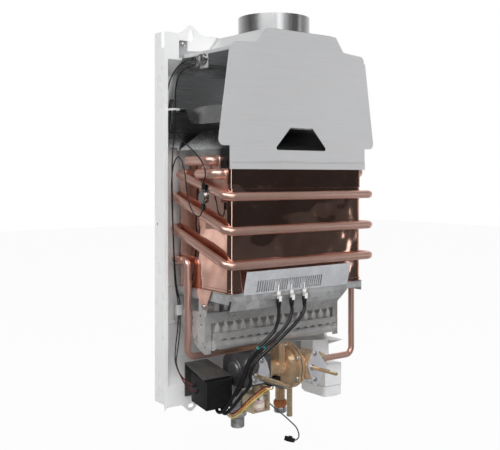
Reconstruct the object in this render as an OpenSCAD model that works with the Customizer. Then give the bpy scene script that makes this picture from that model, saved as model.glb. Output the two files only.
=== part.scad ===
// Instantaneous gas water heater with its cover taken off, in millimetres.
// X runs to the right, Y towards the wall and Z up. The wall is the plane y = 0, and the origin
// lies on it in the middle of the four wall holes. A depth is a distance from the wall.

/* [Chassis] */
// Width of the chassis over its side flanges
plate_w = 328; // [326:1:350]
// Height between the upper and the lower wall holes
hole_pitch_z = 556; // [552:1:600]
// Distance from the side of the chassis to the middle of the wall holes
hole_inset = 47; // [40:0.5:60]
// Distance from the wall to the front face of the chassis
plate_depth = 26.7; // [25:0.1:30]
// Thickness of the chassis sheet
plate_t = 1; // [0.8:0.1:1.3]
// Radius of the hanging keyholes
keyhole_r = 6; // [5:0.1:6.5]
// Width of the lower screw slots
slot_w = 6; // [5:0.1:7]
// Length of the lower screw slots
slot_l = 10; // [8:0.1:11]

/* [Heat exchanger] */
// Width of the combustion chamber
chamber_w = 258.8; // [240:0.1:262]
// Depth of the combustion chamber
chamber_d = 128.6; // [126:0.1:134]
// Height of the combustion chamber below the fins
chamber_h = 147; // [145:1:150]
// Thickness of the copper sheet
copper_t = 0.8; // [0.6:0.1:1.2]
// Height of the finned block above the chamber
fin_block_h = 55.7; // [55:0.1:58]
// Outer diameter of the tubes through the fins
tube_od = 14; // [13:0.1:14.4]
// Number of fins
fin_count = 34; // [20:1:40]
// Outer diameter of the coil round the chamber
coil_od = 12; // [10:0.1:12.4]
// Height from one turn of the coil to the next
coil_pitch = 48.25; // [46:0.25:50]
// Height of the coil's upper front run
coil_top_z = 40; // [38:0.5:42]

/* [Hood] */
// Width of the hood at its lower corners
hood_w = 307; // [300:1:312]
// Height of the hood's front panel
hood_h = 203; // [200:1:206]
// Thickness of the hood sheet
hood_t = 0.8; // [0.6:0.1:1]
// Outer diameter of the flue collar
flue_od = 110; // [90:1:112]
// Height of the flue collar above the roof
flue_h = 28.4; // [20:0.1:60]

/* [Water pipes] */
// Outer diameter of the water pipes
pipe_od = 10; // [8:0.1:10.4]
// Depth of the left pipe and of the water connections
outlet_depth = 50; // [47:0.5:53]
// Height of the left pipe's lower run
left_run_z = -198; // [-201:0.5:-196]

/* [Burner] */
// Depth of the burner's front rail
burner_front = 87; // [84:0.5:90]
// Front to back size of the burner
burner_d = 38; // [34:0.5:40]
// Number of burner blades
blade_count = 15; // [8:1:16]
// Room between the middle of the outer blades and the side plates
blade_margin = 20.8; // [18:0.1:26]
// Outer diameter of the gas manifold
manifold_od = 14.5; // [12:0.1:16]

/* [Controls] */
// Depth of the axis through the gas and water valves
valve_depth = 100; // [98:0.5:102]
// Height of the axis through the gas and water valves
valve_z = -222; // [-224:0.5:-220]
// Outer diameter of the diaphragm housing
diaphragm_od = 68; // [64:1:70]
// Diameter of the two spindles
spindle_od = 6; // [5:0.1:7]
// Outer diameter of the threaded gas and water connections
thread_od = 20.9; // [20:0.1:21.5]

/* [Boxes] */
// Width of the ignition box
ignition_w = 44.5; // [40:0.5:46]
// Height of the ignition box
ignition_h = 46; // [42:1:48]
// Width of the battery box
battery_box_w = 36; // [35.5:0.5:38]
// Diameter of the battery
battery_od = 32; // [28:0.1:32]
// Length of the battery
battery_l = 54; // [50:0.5:55]

/* [Wiring] */
// Diameter of the ignition leads
lead_od = 5.2; // [4.8:0.1:5.4]
// Diameter of the thin wires
wire_od = 2; // [1.6:0.1:2.2]

/* [Hidden] */
$fn = 48;

// Gap between seated pieces, running clearance on a radius, and how far a cut passes a face
seat = 0.3;
fit = 0.05;
over = 2;

// Colours
white = [0.92, 0.92, 0.91];
hood_grey = [0.8, 0.81, 0.82];
galvanised = [0.66, 0.66, 0.67];
dull_steel = [0.55, 0.55, 0.55];
bright_steel = [0.76, 0.76, 0.77];
copper = [0.78, 0.51, 0.41];
brass = [0.79, 0.61, 0.37];
plate_grey = [0.8, 0.8, 0.85];
black = [0.1, 0.1, 0.1];
ceramic = [0.9, 0.9, 0.88];

// Levels that several pieces share
top_margin = 5;
bottom_margin = 3.5;
coil_gap = 0.4;
chamber_rise = 11;
hole_pitch_x = plate_w - 2 * hole_inset;
plate_top = hole_pitch_z / 2 + top_margin;
plate_bottom = bottom_margin - hole_pitch_z / 2;
coil_r = coil_od / 2;
chamber_back = plate_t + coil_od + 2 * coil_gap;
chamber_front = chamber_back + chamber_d;
chamber_half = chamber_w / 2;
chamber_top = coil_top_z + chamber_rise;
chamber_bottom = chamber_top - chamber_h;
case_top = chamber_top + fin_block_h;
core_depth = (chamber_back + chamber_front) / 2;

// Directions, bent sheets, rounded outlines and pipes
function unit(v) = v / norm(v);
function normal(a, b) = let (d = unit(b - a)) [d[1], -d[0]];
function mitre(a, b, c, t) =
  let (m = unit(normal(a, b) + normal(b, c)))
  b + m * t / (m * normal(a, b));
function sheet(p, t) =
  let (n = len(p) - 1)
  concat(
    p,
    [p[n] + normal(p[n - 1], p[n]) * t],
    [for (i = [n - 1:-1:1]) mitre(p[i - 1], p[i], p[i + 1], t)],
    [p[0] + normal(p[0], p[1]) * t]
  );

// Each point of a rounded outline is [x, y, radius]
arc_steps = 8;
function flat(v) = [v[0], v[1]];
function corner(a, b, c) =
  b[2] == 0 ? [flat(b)] :
  let (
    u = unit(flat(a) - flat(b)),
    v = unit(flat(c) - flat(b)),
    half = acos(u * v) / 2,
    o = flat(b) + unit(u + v) * b[2] / sin(half),
    s = flat(b) + u * b[2] / tan(half) - o,
    e = flat(b) + v * b[2] / tan(half) - o,
    from = atan2(s[1], s[0]),
    turn = (atan2(e[1], e[0]) - from + 540) % 360 - 180
  )
  [for (i = [0:arc_steps])
    o + b[2] * [cos(from + turn * i / arc_steps), sin(from + turn * i / arc_steps)]];
function rounded(p) =
  let (n = len(p))
  [for (i = [0:n - 1]) each corner(p[(i + n - 1) % n], p[i], p[(i + 1) % n])];
function both_sides(p) =
  concat(p, [for (i = [len(p) - 1:-1:0]) [-p[i][0], p[i][1], p[i][2]]]);

// A box between two corners, each given as [x, depth, z]
module block(a, b) {
  translate([a[0], -b[1], a[2]])
    cube([b[0] - a[0], b[1] - a[1], b[2] - a[2]]);
}

// Round bars along one axis
module bar_x(x0, x1, r, depth, z) {
  translate([x0, -depth, z])
    rotate([0, 90, 0])
      cylinder(h = x1 - x0, r = r);
}

module bar_y(d0, d1, r, x, z) {
  translate([x, -d0, z])
    rotate([90, 0, 0])
      cylinder(h = d1 - d0, r = r);
}

module bar_z(z0, z1, r, x, depth) {
  translate([x, -depth, z0])
    cylinder(h = z1 - z0, r = r);
}

// An outline of [depth, z] points drawn out along x
module along_x(x0, x1, p) {
  translate([x0, 0, 0])
    rotate([90, 0, 90])
      linear_extrude(x1 - x0)
        polygon([for (q = p) [-q[0], q[1]]]);
}

// A flat shape in x and z drawn out away from the wall
module along_y(d0, d1) {
  translate([0, -d0, 0])
    rotate([90, 0, 0])
      linear_extrude(d1 - d0)
        children();
}

// A flat shape in x and depth drawn upwards
module along_z(z0, z1) {
  translate([0, 0, z0])
    linear_extrude(z1 - z0)
      mirror([0, 1])
        children();
}

module both() {
  children();
  mirror([1, 0, 0])
    children();
}

module round_rect(a, b, r) {
  translate([a[0] + r, a[1]])
    square([b[0] - a[0] - 2 * r, b[1] - a[1]]);
  translate([a[0], a[1] + r])
    square([b[0] - a[0], b[1] - a[1] - 2 * r]);
  for (x = [a[0] + r, b[0] - r], y = [a[1] + r, b[1] - r])
    translate([x, y])
      circle(r);
}

// An oblong hole with its middle at a point, as long as the first size and as wide as the second
module oblong(l, w) {
  square([l - w, w], center = true);
  for (x = [w - l, l - w])
    translate([x / 2, 0])
      circle(w / 2);
}

module hexagon(across) {
  circle(across / sqrt(3), $fn = 6);
}

// A pipe through points [x, depth, z, bend radius], with a thin ring where a bend meets a straight
function place(q) = [q[0], -q[1], q[2]];
function bend_angle(a, b, c) = acos(unit(b - a) * unit(c - b));
module pipe(route, r) {
  p = [for (q = route) place(q)];
  n = len(p) - 1;
  cut = [for (i = [0:n])
    i == 0 || i == n ? 0 : route[i][3] * tan(bend_angle(p[i - 1], p[i], p[i + 1]) / 2)];
  for (i = [0:n - 1])
    let (u = unit(p[i + 1] - p[i]))
      straight(p[i] + u * cut[i], p[i + 1] - u * cut[i + 1], r);
  for (i = [1:n - 1])
    elbow(p[i - 1], p[i], p[i + 1], route[i][3], r);
}

module straight(a, b, r) {
  d = b - a;
  translate(a)
    rotate([0, acos(d[2] / norm(d)), atan2(d[1], d[0])])
      cylinder(h = norm(d), r = r);
}

module elbow(a, b, c, bend, r) {
  u = unit(b - a);
  v = unit(c - b);
  angle = acos(u * v);
  n = unit(v - (u * v) * u);
  w = cross(n, -u);
  cut = bend * tan(angle / 2);
  o = b - u * cut + n * bend;
  straight(b - u * (cut + seat), b - u * (cut - seat), r + fit);
  straight(b + v * (cut - seat), b + v * (cut + seat), r + fit);
  multmatrix([
    [-n[0], u[0], w[0], o[0]],
    [-n[1], u[1], w[1], o[1]],
    [-n[2], u[2], w[2], o[2]],
    [0, 0, 0, 1]
  ])
    rotate_extrude(angle = angle)
      translate([bend, 0])
        circle(r);
}

// Chassis
top_band = 40;
top_slope_h = 22;
bottom_band = 29.5;
bottom_slope_h = 39;
lip_w = 6.5;
recess_top = plate_top - top_band;
recess_bottom = plate_bottom + bottom_band;
plate_half = plate_w / 2;
flange_lift = 5.5;
notch_h = 24;
notch_depth = 17;
ear_w = 44;
ear_h = 14;
lug_w = 38;
lug_h = 12;
ear_steps = 12;
keyhole_rise = 11;
keyhole_tip_r = 2.4;
spike_w = 7;
spike_h = 4;
rib_w = 7;
rib_out = 1.6;
rib_zs = [-95.8, -153.9];
side_hole_r = 2;
side_hole_depth = 7;
side_hole_z = -3;
function bell(w, h, end, way) =
  [for (i = [0:ear_steps])
    let (a = 360 * i / ear_steps - 180)
    [a / 360 * w, end + way * h * (1 + cos(a)) / 2]];

module keyhole() {
  low = [keyhole_r - seat, keyhole_tip_r];
  high = [keyhole_tip_r - seat, keyhole_rise];
  circle(keyhole_r);
  translate([0, keyhole_rise])
    circle(keyhole_tip_r);
  polygon([low, high, [-high[0], high[1]], [-low[0], low[1]]]);
}

module back_plate() {
  ribs = [for (z = rib_zs) each [
    [plate_t, z + rib_w / 2], [plate_t + rib_out, z + rib_w / 2 - rib_out],
    [plate_t + rib_out, z - rib_w / 2 + rib_out], [plate_t, z - rib_w / 2]
  ]];
  face = concat(
    [[plate_depth, plate_top], [plate_depth, recess_top], [plate_t, recess_top - top_slope_h]],
    ribs,
    [[plate_t, recess_bottom + bottom_slope_h], [plate_depth, recess_bottom],
      [plate_depth, plate_bottom]]
  );
  color(white) difference() {
    union() {
      along_x(-plate_half + plate_t / 2, plate_half - plate_t / 2, sheet(face, plate_t));
      both() {
        block(
          [plate_half - plate_t, 0, plate_bottom + flange_lift],
          [plate_half, plate_depth, plate_top]
        );
        block(
          [plate_half - lip_w, plate_depth - plate_t, recess_bottom - over],
          [plate_half, plate_depth, recess_top + over]
        );
        along_y(plate_depth - plate_t, plate_depth) {
          translate([hole_pitch_x / 2, 0]) {
            polygon(concat([[ear_w / 2, plate_top - over],
              [-ear_w / 2, plate_top - over]], bell(ear_w, ear_h, plate_top, 1)));
            polygon(concat([[lug_w / 2, plate_bottom + over],
              [-lug_w / 2, plate_bottom + over]],
              bell(lug_w, lug_h, plate_bottom, -1)));
          }
          polygon([
            [plate_half - spike_w, plate_bottom],
            [plate_half - spike_w / 2, plate_bottom - spike_h / 4],
            [plate_half - plate_t, plate_bottom - spike_h],
            [plate_half - plate_t, plate_bottom + over],
            [plate_half - spike_w, plate_bottom + over]
          ]);
        }
      }
    }
    both() {
      bar_y(plate_depth - plate_t - over, plate_depth + over, screw_r + seat, ear_screw_x, ear_screw_z);
      along_y(plate_depth - plate_t - over, plate_depth + over)
        translate([hole_pitch_x / 2, hole_pitch_z / 2])
          keyhole();
      along_y(plate_depth - plate_t - over, plate_depth + over)
        translate([hole_pitch_x / 2, -hole_pitch_z / 2])
          oblong(slot_l, slot_w);
      block(
        [plate_half - plate_t, notch_depth, plate_top - notch_h],
        [plate_half + over, plate_depth + over, plate_top + over]
      );
      bar_x(plate_half - plate_t - over, plate_half + over, side_hole_r, side_hole_depth, side_hole_z);
    }
  }
}

// Hood panels: both have the same outline of [x, z, radius]
hood_lift = 27.7;
panel_gap = 4.6;
tab_w = 139.4;
tab_drop = 22;
tab_notch_w = 172.4;
shoulder_w = 262;
shoulder_drop = 25.5;
shoulder_h = 9.2;
shoulder_r = 8;
step_w = 268;
step_h = 2.3;
window_rise = 32.7;
lower_r = 9;
foot_w = 265.4;
hem_h = 12;
vent_w = 105.2;
vent_top_w = 43.6;
vent_h = 33.1;
vent_rise = 28.1;
vent_r = 3;
hood_bottom = chamber_top + hood_lift;
panel_top = hood_bottom + hood_h;
shoulder_z = panel_top - shoulder_drop;
panel_front = chamber_front + panel_gap;
panel_back = panel_front - hood_t;
inner_front = panel_back - seat;
rear_upper = plate_depth + seat + hood_t;
rear_lower = chamber_back - 2 * seat;
inner_back = rear_lower + seat;
rear_bend_gap = 3;
rear_bend_h = 18;
ear_tab_in = 124;
ear_tab_out = 138.5;
ear_tab_bottom = 246;
ear_tab_top = 272;
ear_screw_x = 130.5;
ear_screw_z = 266.5;
edge_hem = 5;
panel_outline = [
  [tab_w / 2, panel_top, 0],
  [tab_notch_w / 2, panel_top - tab_drop, 0],
  [shoulder_w / 2, shoulder_z, shoulder_r],
  [shoulder_w / 2, shoulder_z - shoulder_h, 0],
  [step_w / 2, shoulder_z - shoulder_h - step_h, 0],
  [hood_w / 2, hood_bottom + window_rise, lower_r],
  [foot_w / 2, hood_bottom + window_rise, 0],
  [foot_w / 2, hood_bottom, 0]
];

module hood_front_panel() {
  vent_z = hood_bottom + vent_rise;
  color(hood_grey) {
    along_y(panel_back, panel_front)
      difference() {
        polygon(rounded(both_sides(panel_outline)));
        polygon(rounded([
          [-vent_w / 2, vent_z, vent_r], [vent_w / 2, vent_z, vent_r],
          [vent_top_w / 2, vent_z + vent_h, vent_r],
          [-vent_top_w / 2, vent_z + vent_h, vent_r]
        ]));
      }
    block([-foot_w / 2, panel_front, hood_bottom],
      [foot_w / 2, panel_front + hood_t, hood_bottom + hem_h]);
  }
}

module hood_rear_panel() {
  bend_z = plate_top - top_band - rear_bend_gap;
  face = [
    [rear_upper, panel_top + over], [rear_upper, bend_z],
    [rear_lower, bend_z - rear_bend_h], [rear_lower, case_top + seat]
  ];
  top = shoulder_z - shoulder_h - step_h;
  low = hood_bottom + window_rise + lower_r;
  slant = (hood_w - step_w) / 2 / (top - hood_bottom - window_rise);
  color(hood_grey) {
    intersection() {
      along_x(-hood_w, hood_w, sheet(face, hood_t));
      along_y(0, panel_front)
        polygon(rounded(both_sides(panel_outline)));
    }
    both() {
      difference() {
        block([ear_tab_in, plate_depth + seat, ear_tab_bottom], [ear_tab_out, rear_upper, ear_tab_top]);
        bar_y(plate_depth, rear_upper + over, screw_r + seat, ear_screw_x, ear_screw_z);
      }
      along_y(rear_lower - hood_t, rear_lower + edge_hem)
        polygon([
          [hood_w / 2 - (low - hood_bottom - window_rise) * slant, low],
          [step_w / 2 + (top - bend_z + rear_bend_h + seat) * slant, bend_z - rear_bend_h - seat],
          [step_w / 2 + (top - bend_z + rear_bend_h + seat) * slant - hood_t,
            bend_z - rear_bend_h - seat],
          [hood_w / 2 - (low - hood_bottom - window_rise) * slant - hood_t, low]
        ]);
    }
  }
}

// Roof between the panels, with the bracket of the flue thermostat on its left hem
roof_w = 260;
roof_flat_w = 124;
roof_rise = seat + hood_t;
roof_slope_h = 32.1;
roof_knee = [86, 24];
roof_hem = 5;
roof_top = panel_top + roof_rise;
roof_edge = roof_top - roof_slope_h;
flue_depth = 82;
sensor_tab_w = 20;
sensor_tab_h = 20;
sensor_depth = 80;
sensor_drop = 7.5;
sensor_z = roof_edge - roof_hem - sensor_drop;

module hood_roof() {
  face = [
    [-roof_w / 2, roof_edge - roof_hem], [-roof_w / 2, roof_edge],
    [-roof_knee[0], roof_top - roof_knee[1]],
    [-roof_flat_w / 2, roof_top], [roof_flat_w / 2, roof_top],
    [roof_knee[0], roof_top - roof_knee[1]],
    [roof_w / 2, roof_edge], [roof_w / 2, roof_edge - roof_hem]
  ];
  color(hood_grey) difference() {
    union() {
      along_y(rear_upper + seat, inner_front)
        polygon(sheet(face, hood_t));
      block([-roof_flat_w / 2, plate_depth + seat, roof_top - hood_t],
        [roof_flat_w / 2, rear_upper + over, roof_top]);
      block([-roof_w / 2, sensor_depth - sensor_tab_w / 2,
          roof_edge - roof_hem - sensor_tab_h],
        [-roof_w / 2 + hood_t, sensor_depth + sensor_tab_w / 2, roof_edge]);
    }
    bar_z(roof_top - over, roof_top + over, flue_od / 2 + seat, 0, flue_depth);
  }
}

// Baffle over the finned block
baffle_rise = 63.3;
baffle_drop = 25;
baffle_back = 32;
baffle_arc = 37;
baffle_w = 260;
baffle_slot = [30, 50];
baffle_slot_from = [46, 112];
baffle_z = case_top + baffle_rise;

module hood_baffle() {
  steps = 6;
  arc = [for (i = [0:steps])
    let (a = 90 * i / steps)
    [baffle_back + baffle_arc * (1 - cos(a)), baffle_z - baffle_drop * sin(a)]];
  color(hood_grey) difference() {
    union() {
      block([-baffle_w / 2, inner_back, baffle_z - hood_t], [baffle_w / 2, inner_front, baffle_z]);
      both()
        along_x(baffle_w / 2 - hood_t, baffle_w / 2, concat(arc, [
          [inner_front - edge_hem, baffle_z - baffle_drop],
          [inner_front - edge_hem, baffle_z]
        ]));
    }
    both()
      block([baffle_slot[0], baffle_slot_from[0], baffle_z - over],
        [baffle_slot[0] + baffle_slot[1], baffle_slot_from[1], baffle_z + over]);
  }
}

// Tubes through the fins: rows of [depth, z], and the pairs that the return bends join
row_rise = [4, 21, 40];
tube_rows = [
  [core_depth - 54, chamber_top + row_rise[1]],
  [core_depth - 26, chamber_top + row_rise[2]],
  [core_depth + 35, chamber_top + row_rise[2]],
  [core_depth + 2, chamber_top + row_rise[1]],
  [core_depth + 49, chamber_top + row_rise[1]],
  [core_depth - 1, chamber_top + row_rise[0]],
  [core_depth + 47, chamber_top + row_rise[0]]
];
tube_r = tube_od / 2;
tube_stub = 1;
left_links = [[1, 2], [3, 4]];
right_links = [[0, 1], [2, 4], [3, 5]];
left_link_out = 13.5;
right_link_out = 13;
link_bend = 8.6;
header_t = 1;
header_w = 17;
inlet_row = 6;
outlet_row = 0;

// Collector on top of the finned block
skirt_h = 8;
leg_clear = 0.9;
leg_start = 16;
leg_slot_w = 2.4;
leg_slot_h = 10;
leg_slot_side = 8;
collector_rise = 33;
collector_in = [30, 27];
collector_lip = 3;

module collector_solid(drop) {
  w = chamber_half + seat + hood_t;
  low = case_top + seat - drop;
  intersection() {
    along_y(0, panel_front)
      polygon([[-w, low], [w, low], [w - collector_in[0], low + collector_rise],
        [collector_in[0] - w, low + collector_rise]]);
    along_x(-w, w, [[inner_back, low], [inner_front, low],
      [inner_front - collector_in[1], low + collector_rise],
      [inner_back + collector_in[1], low + collector_rise]]);
  }
}

module hood_collector() {
  w = chamber_half + seat + hood_t;
  rim = case_top + seat;
  leg_bottom = chamber_top + row_rise[1] + tube_r + leg_clear;
  back_leg = tube_rows[1][0] - tube_r - leg_clear;
  front_leg = tube_rows[2][0] + tube_r + leg_clear;
  color(hood_grey) {
    difference() {
      collector_solid(0);
      collector_solid(2 * hood_t);
      block([-w + collector_in[0] + collector_lip, inner_back + collector_in[1]
          + collector_lip, rim],
        [w - collector_in[0] - collector_lip, inner_front - collector_in[1]
          - collector_lip, rim + collector_rise + over]);
    }
    both() difference() {
      union() {
        block([w - hood_t, leg_start, rim - skirt_h], [w, inner_front, rim + hood_t]);
        block([w - hood_t, leg_start, leg_bottom], [w, back_leg, rim]);
        block([w - hood_t, front_leg, leg_bottom], [w, inner_front, rim]);
      }
      for (d = [leg_start + leg_slot_side, inner_front - leg_slot_side])
        block([w - hood_t - over, d - leg_slot_w / 2, leg_bottom + leg_slot_w],
          [w + over, d + leg_slot_w / 2, leg_bottom + leg_slot_w + leg_slot_h]);
    }
  }
}

// Flue collar with its flange on the roof
collar_flange = 6;

module flue_collar() {
  color(hood_grey) difference() {
    union() {
      bar_z(roof_top + seat, roof_top + flue_h, flue_od / 2, 0, flue_depth);
      bar_z(roof_top + seat, roof_top + seat + hood_t, flue_od / 2 + collar_flange, 0, flue_depth);
    }
    bar_z(roof_top - over, roof_top + flue_h + over, flue_od / 2 - hood_t, 0, flue_depth);
  }
}

// Disc thermostat with two blades and the sleeved ends of its wires
disc_r = 7.5;
disc_t = 6;
disc_flange_t = 0.8;
spade_w = 5;
spade_t = 0.8;
spade_l = 16;
spade_from = 3;
sleeve_w = 6.4;
sleeve_t = 3.4;
sleeve_l = 13;

module spade(x, depth, z) {
  block([x, depth, z - spade_w / 2], [x + spade_t, depth + spade_l, z + spade_w / 2]);
  block([x + spade_t / 2 - sleeve_t / 2, depth - sleeve_l / 2, z - sleeve_w / 2],
    [x + spade_t / 2 + sleeve_t / 2, depth + sleeve_l / 2, z + sleeve_w / 2]);
}

module flue_thermostat() {
  face = -roof_w / 2 - seat;
  color(bright_steel) {
    bar_x(face - disc_t, face, disc_r, sensor_depth, sensor_z);
    block([face - disc_flange_t, sensor_depth - sensor_tab_w / 2, sensor_z - spade_w / 2],
      [face, sensor_depth + sensor_tab_w / 2, sensor_z + spade_w / 2]);
    for (z = [-spade_w, spade_w])
      spade(face - disc_t + spade_t, sensor_depth - disc_r - spade_l + spade_from,
        sensor_z + z - spade_w / 2);
  }
}

// Combustion chamber
chamber_r = 7;
lip_out = 3;
lip_h = 1.2;
lip_front_left = 112;
lip_front_right = 104;
bead_out = 1.2;
bead_rise = 4;
tab_top = [64, 104];
tab_depth = 84;
tab_bottom_w = 9;
tab_h = 29;
tab_hole_r = 1.9;
tab_hole_rise = 5;
pipe_gap = 1.6;
right_gap = 0.6;
side_pipe_depth = 100;
grille_slot_left = -83;
grille_slot_right = 41;
grille_slot_top = -80;
grille_slot_bottom = -97;
tab_x = chamber_half + lip_out + seat;

module chamber_outline(out) {
  round_rect(
    [-chamber_half - out, chamber_back - out],
    [chamber_half + out, chamber_front + out],
    chamber_r + out
  );
}

module side_tab(top_end) {
  difference() {
    along_x(tab_x, tab_x + copper_t, [
      [tab_top[0], chamber_bottom + lip_h], [top_end, chamber_bottom + lip_h],
      [tab_depth + tab_bottom_w / 2, chamber_bottom - tab_h],
      [tab_depth - tab_bottom_w / 2, chamber_bottom - tab_h]
    ]);
    bar_x(tab_x - over, tab_x + over, tab_hole_r + seat,
      tab_depth, chamber_bottom - tab_h + tab_hole_rise);
  }
  block([tab_x - over, tab_top[0], chamber_bottom],
    [tab_x + copper_t, top_end, chamber_bottom + lip_h]);
}

module combustion_chamber() {
  color(copper) {
    difference() {
      union() {
        along_z(chamber_bottom, chamber_top)
          chamber_outline(0);
        along_z(chamber_bottom, chamber_bottom + lip_h)
          chamber_outline(lip_out);
        along_z(chamber_bottom + bead_rise, chamber_bottom + bead_rise + lip_h)
          chamber_outline(bead_out);
      }
      along_z(chamber_bottom - over, chamber_top + over)
        chamber_outline(-copper_t);
      block([-lip_front_left, chamber_front, chamber_bottom - over],
        [lip_front_right, chamber_front + 2 * over, chamber_bottom + 2 * bead_rise]);
      block([grille_slot_left, chamber_front - chamber_r, grille_slot_bottom],
        [grille_slot_right, chamber_front + over, grille_slot_top]);
      block([chamber_half + pipe_gap / 2, side_pipe_depth - pipe_od, chamber_bottom - over],
        [tab_x + over, side_pipe_depth + pipe_od, chamber_bottom + 2 * bead_rise]);
      for (row = tube_rows)
        bar_x(-chamber_w, chamber_w, tube_r + seat, row[0], row[1]);
    }
    side_tab(side_pipe_depth - pipe_od);
    mirror([1, 0, 0])
      side_tab(tab_top[1]);
  }
}

// Case of the finned block, the fins and their tubes
case_r = 5;
fin_t = 0.5;
fin_side = 11.4;
fin_edge = 6.2;
fin_low = 1.5;
fin_high = 8;

module fin_block_case() {
  color(copper) difference() {
    along_z(chamber_top + seat, case_top)
      difference() {
        round_rect([-chamber_half, chamber_back], [chamber_half, chamber_front], case_r);
        round_rect(
          [-chamber_half + copper_t, chamber_back + copper_t],
          [chamber_half - copper_t, chamber_front - copper_t],
          case_r - copper_t
        );
      }
    for (row = tube_rows)
      bar_x(-chamber_w, chamber_w, tube_r + seat, row[0], row[1]);
  }
}

module fins() {
  span = chamber_w - 2 * fin_side;
  color(copper)
    for (i = [0:fin_count - 1])
      translate([-span / 2 - fin_t / 2 + span * i / (fin_count - 1), 0, 0])
        difference() {
          block([0, chamber_back + fin_edge, chamber_top + fin_low],
            [fin_t, chamber_front - fin_edge, case_top - fin_high]);
          for (row = tube_rows)
            bar_x(-over, fin_t + over, tube_r + seat, row[0], row[1]);
        }
}

module heat_tubes() {
  end = chamber_half + tube_stub;
  color(copper) {
    for (i = [0:len(tube_rows) - 1])
      bar_x(i == inlet_row - 1 || i == inlet_row ? -chamber_half : -end, end,
        tube_r, tube_rows[i][0], tube_rows[i][1]);
    for (link = left_links)
      let (a = tube_rows[link[0]], b = tube_rows[link[1]])
        pipe([[-end, a[0], a[1], 0], [-chamber_half - left_link_out, a[0], a[1], link_bend],
          [-chamber_half - left_link_out, b[0], b[1], link_bend],
          [-end, b[0], b[1], 0]], tube_r);
    for (link = right_links)
      let (a = tube_rows[link[0]], b = tube_rows[link[1]])
        pipe([[end, a[0], a[1], 0], [chamber_half + right_link_out, a[0], a[1], link_bend],
          [chamber_half + right_link_out, b[0], b[1], link_bend],
          [end, b[0], b[1], 0]], tube_r);
    block(
      [-chamber_half - seat - header_t, tube_rows[inlet_row - 1][0] - header_w / 2,
        tube_rows[inlet_row][1] - header_w / 2],
      [-chamber_half - seat, tube_rows[inlet_row][0] + header_w / 2,
        tube_rows[inlet_row][1] + header_w / 2]
    );
    for (i = [inlet_row - 1, inlet_row])
      bar_x(-chamber_half - seat - over / 4, -chamber_half + over,
        tube_r, tube_rows[i][0], tube_rows[i][1]);
  }
}

// Coil round the chamber: the left runs fall, all others are level
coil_bend = 13;
coil_left_gap = 3;
start_play = 0.2;
coil_front = chamber_front + coil_gap + coil_r;
coil_back = plate_t + coil_gap + coil_r;
coil_left_x = -chamber_half - coil_left_gap - coil_r;
coil_right_x = chamber_half + pipe_gap + pipe_od + right_gap + coil_r;
coil_low_z = coil_top_z - 2 * coil_pitch;
tail_depth = 36;

module coil() {
  start = tube_rows[outlet_row];
  route = concat(
    [[-chamber_half - tube_stub - seat, start[0], start[1], 0],
      [coil_left_x, start[0], start[1], coil_r + start_play]],
    [for (turn = [0:2])
      let (z = coil_top_z - turn * coil_pitch)
      each [[coil_left_x, coil_front, z, coil_bend],
        [coil_right_x, coil_front, z, coil_bend],
        [coil_right_x, coil_back, z, coil_bend],
        [coil_left_x, coil_back, z, coil_bend]]],
    [[coil_left_x, tail_depth, coil_low_z, 0]]
  );
  color(copper)
    pipe(route, coil_r);
}

// Water pipes: the left one leads down to the outlet, the right one up to the finned block
pipe_r = pipe_od / 2;
left_bend = 12;
left_start_bend = 8;
sleeve_r = 7;
sleeve_len = 14;
left_ring_l = 3.2;
sleeve_z = -85;
outlet_x = 0;
outlet_top = -262;
outlet_bend = 14;
nut_x = 67.3;
riser_pipe_x = chamber_half + pipe_gap + pipe_r;
lower_pipe_x = 150;
jog_z = chamber_bottom - 16;
upper_jog_z = 20;
upper_jog_h = 20;
jog_bend = 10;
nut_l = 17;
nut_in = 4;
nut_across = 22;

module left_pipe() {
  color(copper) {
    pipe([
      [coil_left_x, tail_depth + seat, coil_low_z, 0],
      [coil_left_x, outlet_depth, coil_low_z, left_start_bend],
      [coil_left_x, outlet_depth, left_run_z, left_bend],
      [outlet_x, outlet_depth, left_run_z, outlet_bend],
      [outlet_x, outlet_depth, outlet_top + seat, 0]
    ], pipe_r);
    bar_y(tail_depth + seat, tail_depth + seat + left_ring_l, coil_r, coil_left_x, coil_low_z);
    bar_z(sleeve_z - sleeve_len, sleeve_z, sleeve_r - copper_t, coil_left_x, outlet_depth);
  }
}

module right_pipe() {
  end = tube_rows[inlet_row];
  color(copper) {
    pipe([
      [nut_x + nut_in, valve_depth, valve_z, 0],
      [lower_pipe_x, valve_depth, valve_z, left_bend],
      [lower_pipe_x, side_pipe_depth, jog_z, jog_bend],
      [riser_pipe_x, side_pipe_depth, chamber_bottom - pipe_gap, jog_bend],
      [riser_pipe_x, side_pipe_depth, upper_jog_z, jog_bend],
      [riser_pipe_x, end[0], upper_jog_z + upper_jog_h, jog_bend],
      [riser_pipe_x, end[0], end[1], pipe_r + start_play],
      [chamber_half + tube_stub + seat, end[0], end[1], 0]
    ], pipe_r);
  }
}

// Thermostat on the coil's first left run
chrome_r = 8;
chrome_t = 7;
chrome_depth = 106;
chrome_drop = 11;
clip_w = 14;
clip_t = 0.8;
clip_h = 26;
chrome_spade_l = 11;

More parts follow.
